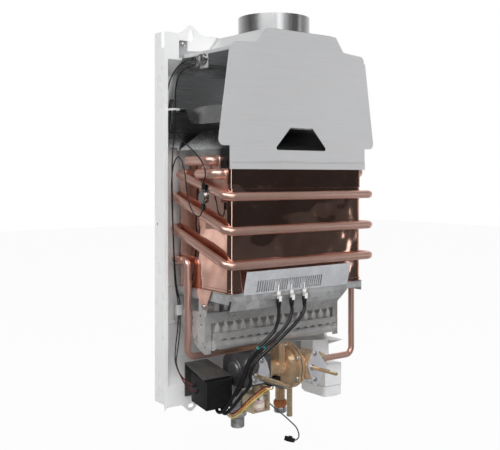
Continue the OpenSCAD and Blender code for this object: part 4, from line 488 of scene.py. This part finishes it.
BOOT_X = (-45, -20, 5)
boots = Maker()
for x in BOOT_X:
    boots.lathe(M(x, 147.3, -109), (0, 0, -1), [
        [0, 3.15], [0, 3.5], [0.5, 3.8], [1.6, 3.8], [2.0, 3.45], [2.6, 3.45], [3.0, 3.8], [4.1, 3.8],
        [4.5, 3.45], [5.1, 3.45], [5.5, 3.8], [6.6, 3.8], [7.2, 3.4], [11, 3.15], [12.7, 2.95]], 24)
boots.piece("boot_set", rubber_black, smooth=50, replaces=["electrode_boots"])

tabs = Maker()
for x in BOOT_X:
    tabs.box((x - 2.6, 151.25, -112.5), (x + 2.6, 151.65, -104.5), bevel=0.15)
tabs.piece("boot_tabs", ceramic, smooth=30)

# the thermostat wires: down from the flue thermostat, wound to a hank, and on to the ignition box
WIRE_R = 0.95
HANK_LOOPS, HANK_STEP, LOOP_POINTS = 2, 2.8, 24
HANK_X, HANK_DEPTH, HANK_Z = -155.5, 28.5, 157
HANK_RD, HANK_RZ = 7.5, 25  # half of its depth and of its height
hank = []
for i in range(HANK_LOOPS * LOOP_POINTS + 1):
    a = math.radians(180 + 360 * i / LOOP_POINTS)
    hank.append((HANK_X + HANK_STEP * i / LOOP_POINTS, HANK_DEPTH + HANK_RD * math.cos(a),
                 HANK_Z + HANK_RZ * math.sin(a)))
hank_in = [(-135.1, 52.5, 240.6), (-139, 47.5, 239.5), (-147, 38, 231), (-153.5, 27, 213), (-155.5, 21.5, 193),
           (-155.5, 21, 174)]
hank_out = [(-149.6, 23, 145), (-149, 32, 136), (-150.5, 44, 128), (-152.5, 61, 119), (-153, 84, 106),
            (-153, 104, 93), (-153, 115, 79), (-151, 113, 67), (-148.7, 104, 60)]
long_wire = [
    (-135.1, 52.5, 230.6), (-139, 46, 228.5), (-144, 37, 219), (-146, 30, 200), (-146, 28.5, 170),
    (-146, 28.5, 140), (-149, 27.5, 115), (-152, 29, 85), (-152, 30, 30), (-150, 30, -40), (-146, 28, -90),
    (-139, 24.5, -117), (-137.9, 24, -131), (-139.4, 25, -158), (-147, 31, -184), (-154, 41, -203),
    (-153.5, 50, -218), (-146, 58, -231), (-137.2, 65, -237)]
return_wire = [
    (-148.6, 103, 20), (-150, 98, 12), (-152, 87, 15), (-153, 76, 30), (-153, 69, 52), (-153, 62, 82),
    (-154, 49, 97), (-155, 37, 84), (-155.4, 33, 55), (-154, 34, 0), (-151, 34, -55), (-145, 31, -98),
    (-136.9, 26.5, -118), (-135.3, 24, -131), (-137.4, 28, -158), (-146, 36, -184), (-155.5, 46, -204),
    (-155, 56, -221), (-147, 64, -239), (-137.2, 71, -245)]
thin = Maker()
for r, per in ((hank_in + hank + hank_out, 3), (long_wire, 6), (return_wire, 6)):
    thin.tube(smooth_route(route(r), per), WIRE_R, 10)
thin.piece("thermostat_wire_set", wire_red, smooth=60, replaces=["thermostat_wires"])

SWITCH_WIRES = [
    [(-24, 103, -248), (-32, 111, -247.5), (-46, 117.5, -245), (-62, 120, -250), (-76, 116, -260),
     (-84, 108, -272), (-91, 96, -281), (-95, 88, -276), (-95.2, 85, -266)],
    [(-19, 103, -248), (-30, 114.5, -249), (-46, 120.5, -247), (-62, 123, -252.5), (-77, 119, -263),
     (-86, 110, -276), (-92, 97, -285), (-95.2, 83, -278), (-95.2, 80, -265.2)],
]
for name, r, mat in (("switch_wire_a", SWITCH_WIRES[0], wire_orange),
                     ("switch_wire_b", SWITCH_WIRES[1], wire_yellow)):
    w = Maker()
    w.tube(smooth_route(route(r)), WIRE_R, 10)
    w.piece(name, mat, smooth=60, replaces=["control_wires"])
third = Maker()
beside = [(x - 1, d - 0.2, z + 2.2) for x, d, z in SWITCH_WIRES[0][:-2]]
third.tube(smooth_route(route(beside + [(-93.4, 84, -267)])), 0.85, 10)
third.piece("switch_wire_c", wire_red, smooth=60)

# the lead that hangs free with its plug
HANGING = [(-33.6, 100, -267), (-27, 100.5, -271.5), (-11, 98, -284.5), (8, 95.5, -299), (25.5, 92, -313),
           (40, 88, -325), (48, 85, -336), (50.5, 83, -344), (47, 81, -348.5), (42.8, 80, -348.2)]
line = smooth_route(route(HANGING))
hang = Maker()
hang.tube(line, 1.0, 12)
hanging = hang.piece("hanging_lead", wire_grey, smooth=60, replaces=["control_wires"])

lean = Matrix.Translation(M(34.5, 80, -345.6)) @ Matrix.Rotation(math.radians(18), 4, "Y")
plug = Maker()
plug.box((-7.8, -4.8, -3.3), (6.4, 4.8, 3.3), lean, 0.5)
plug.box((6.2, -3.6, -2.4), (8.0, 3.6, 2.4), lean, 0.4)
plug.box((-8.0, -4.2, 3.2), (-3.4, -1.2, 4.1), lean, 0.2)
plug.box((-8.0, 1.2, 3.2), (-3.4, 4.2, 4.1), lean, 0.2)
plug.box((-2.8, -1.9, 3.2), (2.8, 1.9, 5.4), lean, 0.4)
for k in (-3.2, 0, 3.2):
    plug.box((-1.5, k - 0.45, -3.5), (5.2, k + 0.45, -3.2), lean)
plug_piece = plug.piece("plug_shell", black_plastic, smooth=30, replaces=["lead_plug"])


# ---------------------------------------------------------------- screws
def pan_head(maker, at, axis, r, h, recess=0.55):
    """A pan head with a cross recess, on a face point, facing along an axis."""
    axis = Vector(axis).normalized()
    u = axis.orthogonal().normalized()
    v = axis.cross(u)
    bm = maker.bm
    at = Vector(at)

    def at_point(a, b, c):
        return bm.verts.new(at + a * u + b * v + c * axis)

    side = [(0, 1.0), (0.35, 1.0), (0.75, 0.88), (1.0, 0.66)]
    n = 24
    rings = [maker.ring(at + h * c * axis, u, v, r * f, n) for c, f in side]
    maker.skin(rings, False)
    bm.faces.new(rings[0][::-1])
    w, l = 0.13 * r, 0.56 * r
    cross = [(w, w), (w, l), (-w, l), (-w, w), (-l, w), (-l, -w), (-w, -w), (-w, -l), (w, -l), (w, -w), (l, -w),
             (l, w)]
    top = [at_point(a, b, h * 1.02) for a, b in cross]
    low = [at_point(a * 0.8, b * 0.8, h * (1 - recess)) for a, b in cross]
    edges = [bm.edges.get((rings[-1][k], rings[-1][(k + 1) % n])) for k in range(n)]
    edges += [bm.edges.new((top[k], top[(k + 1) % 12])) for k in range(12)]
    bmesh.ops.triangle_fill(bm, use_beauty=True, edges=edges, normal=axis)
    for k in range(12):
        m = (k + 1) % 12
        bm.faces.new((top[k], top[m], low[m], low[k]))
    bm.faces.new(low)


PLATE_FACE = {"gas": 118.1, "water": 119.5}
PLATE_SCREWS = [("gas", -52.5, -203), ("gas", -66, -231), ("water", 51.5, -206), ("water", 52, -246)]
HOUSING_DEPTH, HOUSING_Z, BOLT_CIRCLE = 100, -222, 30.8
BOLTS = [(HOUSING_DEPTH + BOLT_CIRCLE * math.sin(a), HOUSING_Z + BOLT_CIRCLE * math.cos(a))
         for a in (math.radians(60 * i) for i in range(6))]
TAB_SCREW_Z, TAB_DEPTH = -120, 84
HEAD_R, HEAD_H, SHANK_R = 4, 2, 1.95

heads = Maker()
for side in (-1, 1):
    pan_head(heads, M(side * 130.5, 27.85, 266.5), (0, -1, 0), HEAD_R, HEAD_H)
    pan_head(heads, M(side * 133.55, TAB_DEPTH, TAB_SCREW_Z), (side, 0, 0), HEAD_R, HEAD_H)
for plate, x, z in PLATE_SCREWS:
    pan_head(heads, M(x, PLATE_FACE[plate] + 0.05, z), (0, -1, 0), HEAD_R, HEAD_H)
for depth, z in BOLTS:
    pan_head(heads, M(7.95, depth, z), (-1, 0, 0), HEAD_R, HEAD_H)
for plate, x, z in PLATE_SCREWS:
    heads.lathe(M(x, PLATE_FACE[plate], z), (0, 1, 0), [[0, SHANK_R], [1.7, SHANK_R]], 16)
for depth, z in BOLTS:
    heads.lathe(M(8, depth, z), (1, 0, 0), [[0, SHANK_R], [9, SHANK_R]], 16)
heads.piece("screw_set", zinc_bright, smooth=35, replaces=["screws"])


# ---------------------------------------------------------------- threaded ends
def thread(r, low, high, pitch=1.8):
    """Profile of a thread between two levels along an axis."""
    res, z = [[low, r - 1.5], [low + 0.4, r - 1.1]], low + 0.6
    while z + pitch < high:
        res += [[z, r - 1.05], [z + pitch * 0.42, r], [z + pitch * 0.58, r]]
        z += pitch
    return res + [[high, r - 1.1]]


def hexagon(maker, x, depth, z, across, h):
    """A hexagon nut shape with chamfered corners."""
    rr = across / math.sqrt(3)
    rings = []
    for c, f in ((0, 0.94), (0.9, 1.0), (h - 0.9, 1.0), (h, 0.94)):
        corners = []
        for k in range(36):
            a = 2 * math.pi * k / 36
            flat = across / 2 / math.cos((a + math.pi / 6) % (math.pi / 3) - math.pi / 6)
            rad = min(flat, rr * f)
            corners.append(maker.bm.verts.new(
                M(x, depth, z + c) + Vector((rad * math.cos(a), rad * math.sin(a), 0))))
        rings.append(corners)
    maker.skin(rings, True)


# the connections' places (x, depth), the radius of their half-inch threads and of the pipes behind
GAS_IN, HOT_OUT, COLD_IN = (-65, 75), (0, 50), (38, 52)
THREAD_R, ROOT_R, PIPE_R = 10.45, 8.9, 8.0
NUT_ACROSS, NUT_H = 24, 7

gas_in = Maker()
gas_in.lathe(M(*GAS_IN, -308), (0, 0, 1), thread(THREAD_R, 0, 15.2) + [
    [15.3, ROOT_R], [17, ROOT_R], [17, PIPE_R], [67.6, PIPE_R]], 48)
hexagon(gas_in, *GAS_IN, -291, NUT_ACROSS, NUT_H)
gas_in.lathe(M(*GAS_IN, -284), (0, 0, 1), [[0, 9.6], [1.4, 9.6], [2.2, 8.6], [2.2, PIPE_R]], 40)
gas_in.piece("gas_inlet_threaded", galvanised, smooth=25, replaces=["gas_inlet"])

hot = Maker()
hot.lathe(M(*HOT_OUT, -300), (0, 0, 1), thread(THREAD_R, 0, 22) + [
    [22.1, ROOT_R], [24, ROOT_R], [24, PIPE_R], [38, PIPE_R]], 48)
hexagon(hot, *HOT_OUT, -276, NUT_ACROSS, NUT_H)
hot.piece("hot_outlet_threaded", brass_bright, smooth=25, replaces=["hot_outlet"])


# ---------------------------------------------------------------- small parts
def eased_ring(maker, start, axis, r0, r1, l, sides):
    """A ring with eased edges round an axis."""
    e = min(0.25, l / 4, (r1 - r0) / 3)
    maker.lathe(start, axis, [[0, r0], [0, r1 - e], [e, r1], [l - e, r1], [l, r1 - e], [l, r0]], sides,
                cap=False)


CHAMBER_X = 129.4  # half of the case's outer width
LEFT_ENDS = 5
# the finned block's tubes (depth, z): the first five pass both ends of the case, the others the right one
ROWS = [(24.1, 72), (52.1, 91), (113.1, 91), (80.1, 72), (127.1, 72), (77.1, 55), (125.1, 55)]
BEAD = [[0, 8.4], [0.5, 8.2], [1.2, 7.6], [2.2, 7.05]]
beads = Maker()
for i, (depth, z) in enumerate(ROWS):
    for side in (-1, 1) if i < LEFT_ENDS else (1,):
        beads.lathe(M(side * (CHAMBER_X + 0.1), depth, z), (side, 0, 0), BEAD, 32, cap=False)
beads.piece("tube_solder_beads", tube_copper, smooth=60)

LUG = [[0, 2.2], [0, 5.3], [0.4, 5.7], [3.5, 5.7], [3.9, 5.3], [3.9, 2.2]]
lugs = Maker()
for depth, z in BOLTS:
    for x in (8.1, 13.7):
        lugs.lathe(M(x, depth, z), (1, 0, 0), LUG, 24, cap=False)
lugs.piece("housing_lugs", brass_cast, smooth=40)

cold = Maker()
COLD_X, COLD_DEPTH = COLD_IN
BEND_R, BEND_Z = 9, -240
arc = [M(COLD_X, COLD_DEPTH + BEND_R * (1 - math.cos(t)), BEND_Z + BEND_R * math.sin(t))
       for t in (math.pi / 2 * k / 8 for k in range(9))]
cold.tube([M(*COLD_IN, -300)] + arc + [M(COLD_X, 79.7, BEND_Z + BEND_R)], PIPE_R, 28)
cold.lathe(M(COLD_X, 62, BEND_Z + BEND_R), (0, -1, 0), [[0, 8], [0.3, 9.4], [2.2, 9.6], [4, 9.4], [4.4, 8]], 32,
           cap=False)
cold.lathe(M(*COLD_IN, -262), (0, 0, 1), [[0, 8], [0.3, 9.0], [1.6, 9.0], [2, 8]], 32, cap=False)
cold.piece("cold_elbow", brass_cast, smooth=50, replaces=["water_inlet"])
collar = Maker()
collar.lathe(M(*COLD_IN, -300), (0, 0, 1),
             [[0, 8.05], [0, 8.9], [1.2, 9.9], [2.2, 10.4], [9.0, 10.4], [10.2, 9.7], [11.6, 8.6],
              [11.6, 8.05]], 40, cap=False)
COLLAR_RIBS = 18
for k in range(COLLAR_RIBS):
    turn = Matrix.Rotation(2 * math.pi * k / COLLAR_RIBS, 4, "Z")
    collar.box((-0.5, -0.35, 2.6), (0.5, 0.35, 8.6),
               Matrix.Translation(M(*COLD_IN, -300)) @ turn @ Matrix.Translation((0, -THREAD_R, 0)), 0.15)
collar.piece("water_collar", plastic("amber_collar", (0.50, 0.17, 0.05), 0.3, 0.3), smooth=40)
foot = Maker()
foot.lathe(M(*COLD_IN, -309), (0, 0, 1), [[0, 7.1]] + thread(10.4, 0, 8.8) + [[8.9, 8.9], [9, 7.1]], 48,
           cap=False)
foot.piece("water_foot", zinc_bright, smooth=25, replaces=["water_inlet"])

caps = Maker()
caps.lathe(M(-130.3, 80, 238.2), (-1, 0, 0),
           [[0, 8.6], [0.6, 8.8], [1.0, 8.2], [1.2, 7.5], [4.6, 7.4], [5.4, 6.9], [6.0, 5.2], [6.1, 0.01]], 36)
caps.piece("flue_thermostat_cup", chrome, smooth=50)

# the disc thermostat sits on the coil's upper left run, which falls from 72 to 40 towards the front
DISC_DEPTH = 106
disc_z = 72 + (40 - 72) * (DISC_DEPTH - 24.1) / (148.8 - 24.1) - 11
face = -145.5  # where the disc meets the run
disc = Maker()
disc.lathe(M(face, DISC_DEPTH, disc_z), (-1, 0, 0),
           [[0, 9.2], [0.5, 9.4], [1.0, 8.6], [1.2, 7.9], [4.4, 7.8], [5.6, 7.2], [6.4, 5.5], [6.7, 0.01]], 40)
disc.piece("coil_thermostat_cup", chrome, smooth=50)
shoes = Maker()
for z in (disc_z + 9.5, disc_z - 19.5):
    shoes.box((face - 5.0, 102.6, z), (face - 1.2, 108.6, z + 10), bevel=1.0)
for z in (240.6, 230.6):
    shoes.box((-137.0, 53.0, z - 3.2), (-133.4, 66.0, z + 3.2), bevel=1.1)
shoes.piece("terminal_shoes", black_plastic, smooth=40)

for name, plate, x, z in (("gas_spindle", "gas", -64, -223.5), ("water_spindle", "water", 46, -226.5)):
    front = PLATE_FACE[plate]
    m = Maker()
    eased_ring(m, M(x, front + 0.35, z), (0, -1, 0), 2.9, 4.6, 0.9, 32)
    eased_ring(m, M(x, front + 3.2, z), (0, -1, 0), 2.95, 3.35, 1.4, 32)
    m.piece(name + "_ring", zinc_bright, body=name, smooth=40)

cap = Maker()
cap.lathe(M(-70, 116.0, -209), (0, -1, 0),
          [[-4, 15], [0, 15], [1.4, 14.4], [2.6, 12.2], [3.2, 8.5], [3.4, 6.2], [5.4, 6.0], [5.8, 5.4],
           [5.8, 0.01]], 48)
for k in range(4):
    a = math.pi / 4 + math.pi / 2 * k
    cap.lathe(M(-70 + 11.8 * math.cos(a), 116.6, -209 + 11.8 * math.sin(a)), (0, -1, 0),
              [[0, 2.3], [1.6, 2.3], [2.1, 1.7], [2.1, 0.01]], 20)
cap.piece("regulator_cap", dark_cast, smooth=40)
side_cap = Maker()
side_cap.lathe(M(-84, 92, -217), (-1, 0, 0),
               [[-1, 17], [0.6, 17], [1.4, 16.2], [1.6, 13], [3.4, 12.4], [4.4, 10.8], [4.8, 7], [4.9, 0.01]],
               48)
side_cap.piece("side_cover", dark_cast, smooth=40)

coil_dress = Maker()
SOLENOID_X, SOLENOID_DEPTH = -50, 101
coil_dress.lathe(M(SOLENOID_X, SOLENOID_DEPTH, -277.6), (0, 0, 1), [
    [0, 6.2], [0, 12.6], [0.3, 12.9], [1.7, 12.9], [2.0, 12.4], [2.2, 11.9], [3.0, 12.2], [12.3, 12.5],
    [21.4, 12.2], [22.2, 11.9], [22.4, 12.4], [22.7, 12.9], [24.0, 12.9], [24.3, 12.6], [24.3, 6.2]], 48,
                 cap=False)
coil_dress.piece("solenoid_winding", pink_winding, smooth=35, replaces=["solenoid_coil"])
tape = Maker()
for z0, z1 in ((-274.5, -268.0), (-262.5, -257.0)):
    tape.lathe(M(SOLENOID_X, SOLENOID_DEPTH, z0), (0, 0, 1),
               [[0, 12.4], [0.2, 12.75], [z1 - z0 - 0.2, 12.75], [z1 - z0, 12.4]], 48, cap=False)
tape.piece("winding_tape", plastic("tape_cream", (0.80, 0.74, 0.60), 0.3, 0.1), smooth=35)
terminals = Maker()
for x in (-56, -44):
    terminals.box((x - 2.2, 113.4, -262), (x + 2.2, 114.2, -256.5), bevel=0.2)
    terminals.box((x - 1.4, 114.1, -261.2), (x + 1.4, 117.4, -260.4), bevel=0.15)
terminals.piece("solenoid_terminals", zinc_bright, smooth=30)

blades = Maker()
for x in (-26.5, -20, -13.5):
    blades.box((x - 1.2, 109.8, -245.6), (x + 1.2, 114.6, -245.0), bevel=0.12)
blades.box((-28.8, 96, -246.4), (-10.6, 108.4, -245.9), bevel=0.2)
blades.piece("switch_terminals", zinc_bright, smooth=30)

hem = Maker()
for z in (88.4, 90.2):
    hem.prism([(0, -0.45), (0.5, -0.3), (0.7, 0), (0.5, 0.3), (0, 0.45)], M(-128.4, 147.75, z), (0, -1, 0),
              (0, 0, 1), -256.8)
hem.piece("hem_folds", hood_metal, smooth=50)

spring = Maker()
SPRING_TURNS, SPRING_L, SPRING_R, TURN_POINTS = 6.5, 5.5, 1.6, 20
spring_points = int(SPRING_TURNS * TURN_POINTS)
pts = []
for k in range(spring_points + 1):
    a = 2 * math.pi * k / TURN_POINTS
    pts.append(M(-46.5 + SPRING_L * k / spring_points, 121.2 + SPRING_R * math.cos(a),
                 -227 + SPRING_R * math.sin(a)))
spring.tube(pts, 0.35, 8)
spring.piece("lever_spring", zinc_bright, smooth=60)

grommets = Maker()
for d, z in ((65, -237), (71, -245)):
    grommets.lathe(M(-137, d, z), (-1, 0, 0),
                   [[0, 1.1], [0, 2.4], [0.4, 2.6], [1.3, 2.4], [2.6, 1.6], [2.6, 1.1]], 20, cap=False)
grommets.piece("box_grommets", rubber_black, smooth=50)

ribs = Maker()
for z in (-232, -240, -248, -256):
    ribs.box((-136.2, 97.6, z - 0.7), (-93.4, 98.5, z + 0.7), bevel=0.25)
for x in (-134.5, -95.5):
    ribs.box((x - 0.8, 97.6, -266), (x + 0.8, 98.6, -227), bevel=0.25)
ribs.piece("box_ribs", black_plastic, smooth=35)


# ---------------------------------------------------------------- stage
BEHIND = (0.616, 0.788, 0)  # the way the camera looks, level
SOFT_COLOUR, SOFT_STRENGTH = (0.95, 0.97, 1, 1), 0.34
FLOOR_GLOW = 0.95


class WorldNodes(Nodes):
    """The same short calls for the nodes of a world."""

    def __init__(self, world):
        world.use_nodes = True
        self.t = world.node_tree
        self.t.nodes.clear()
        self.coord = self.new("ShaderNodeTexCoord").outputs["Generated"]


scene.view_settings.view_transform = "Standard"
scene.world = bpy.data.worlds.new("studio")
wn = WorldNodes(scene.world)
white, soft = wn.new("ShaderNodeBackground"), wn.new("ShaderNodeBackground")
white.inputs["Color"].default_value = (1, 1, 1, 1)
soft.inputs["Color"].default_value = SOFT_COLOUR
soft.inputs["Strength"].default_value = SOFT_STRENGTH

# camera, metal and glass see the white world, and the rest is lit by the soft one
path = wn.new("ShaderNodeLightPath").outputs
seen = wn.math("MAXIMUM", path["Is Camera Ray"], path["Is Transmission Ray"])
choose = wn.new("ShaderNodeMixShader")
wn.join(wn.math("MAXIMUM", seen, path["Is Glossy Ray"]), choose.inputs["Fac"])
wn.join(soft.outputs[0], choose.inputs[1])
wn.join(white.outputs[0], choose.inputs[2])
wn.join(choose.outputs[0], wn.new("ShaderNodeOutputWorld").inputs["Surface"])

# metal sees the white backdrop behind the object, and the darker room in front of it
facing = wn.new("ShaderNodeVectorMath", operation="DOT_PRODUCT")
facing.inputs[1].default_value = BEHIND
wn.join(wn.coord, facing.inputs[0])
room = wn.math("POWER", wn.span(facing.outputs["Value"], -0.3, 1.0), 1.9)
wn.join(wn.math("MAXIMUM", path["Is Camera Ray"], wn.math("MAXIMUM", room, 0.03)), white.inputs["Strength"])

FLOOR_Z = -0.42
FLOOR_HALF = 6
floor_mesh = bpy.data.meshes.new("floor")
floor_mesh.from_pydata([(a * FLOOR_HALF, b * FLOOR_HALF, FLOOR_Z) for a,
                        b in ((-1, -1), (1, -1), (1, 1), (-1, 1))],
                       [], [(0, 1, 2, 3)])
floor = link(bpy.data.objects.new("floor", floor_mesh))
fm = Nodes("floor_white")
floor_col = fm.ramp(fm.noise(2, 2), [(0.3, (0.93, 0.93, 0.93)), (0.7, (0.96, 0.96, 0.96))])
fm.join(floor_col, fm.bsdf.inputs["Base Color"])
fm.bsdf.inputs["Roughness"].default_value = 0.8
emit = fm.new("ShaderNodeEmission")
emit.inputs["Color"].default_value = (1, 1, 1, 1)
spot = fm.place()
behind = fm.math("ADD", fm.math("MULTIPLY", spot[0], BEHIND[0]), fm.math("MULTIPLY", spot[1], BEHIND[1]))
path = fm.new("ShaderNodeLightPath").outputs
seen = fm.math("MAXIMUM", path["Is Camera Ray"], path["Is Glossy Ray"])
seen = fm.math("MAXIMUM", seen, path["Is Transmission Ray"])
fm.join(fm.math("MAXIMUM", path["Is Camera Ray"], fm.span(behind, -0.2, 1.2, 0.05, 1.0)),
        emit.inputs["Strength"])
choose = fm.new("ShaderNodeMixShader")
fm.join(fm.math("MULTIPLY", seen, FLOOR_GLOW), choose.inputs["Fac"])
fm.join(fm.bsdf.outputs[0], choose.inputs[1])
fm.join(emit.outputs[0], choose.inputs[2])
surface = next(n for n in fm.t.nodes if n.type == "OUTPUT_MATERIAL").inputs["Surface"]
fm.join(choose.outputs[0], surface)
floor.data.materials.append(fm.mat)


def lamp(name, at, aim, size, power):
    """A white rectangular lamp at a place, aimed at another."""
    data = bpy.data.lights.new(name, "AREA")
    data.shape = "RECTANGLE"
    data.size, data.size_y = size
    data.energy = power
    obj = link(bpy.data.objects.new(name, data))
    obj.location = at
    obj.rotation_euler = (Vector(aim) - Vector(at)).to_track_quat("-Z", "Y").to_euler()


lamp("key", (-1.6, -0.8, 1.4), (0, -0.08, 0), (1.8, 1.4), 22)
lamp("strip", (-0.75, -2.0, 0.3), (0, -0.08, 0.1), (0.5, 1.6), 4.5)
lamp("edge", (1.66, -1.42, 0.1), (0, -0.08, 0), (0.14, 1.4), 1.5)
lamp("front", (-0.5, -1.9, 1.8), (0, -0.08, 0), (2.2, 1.6), 27)
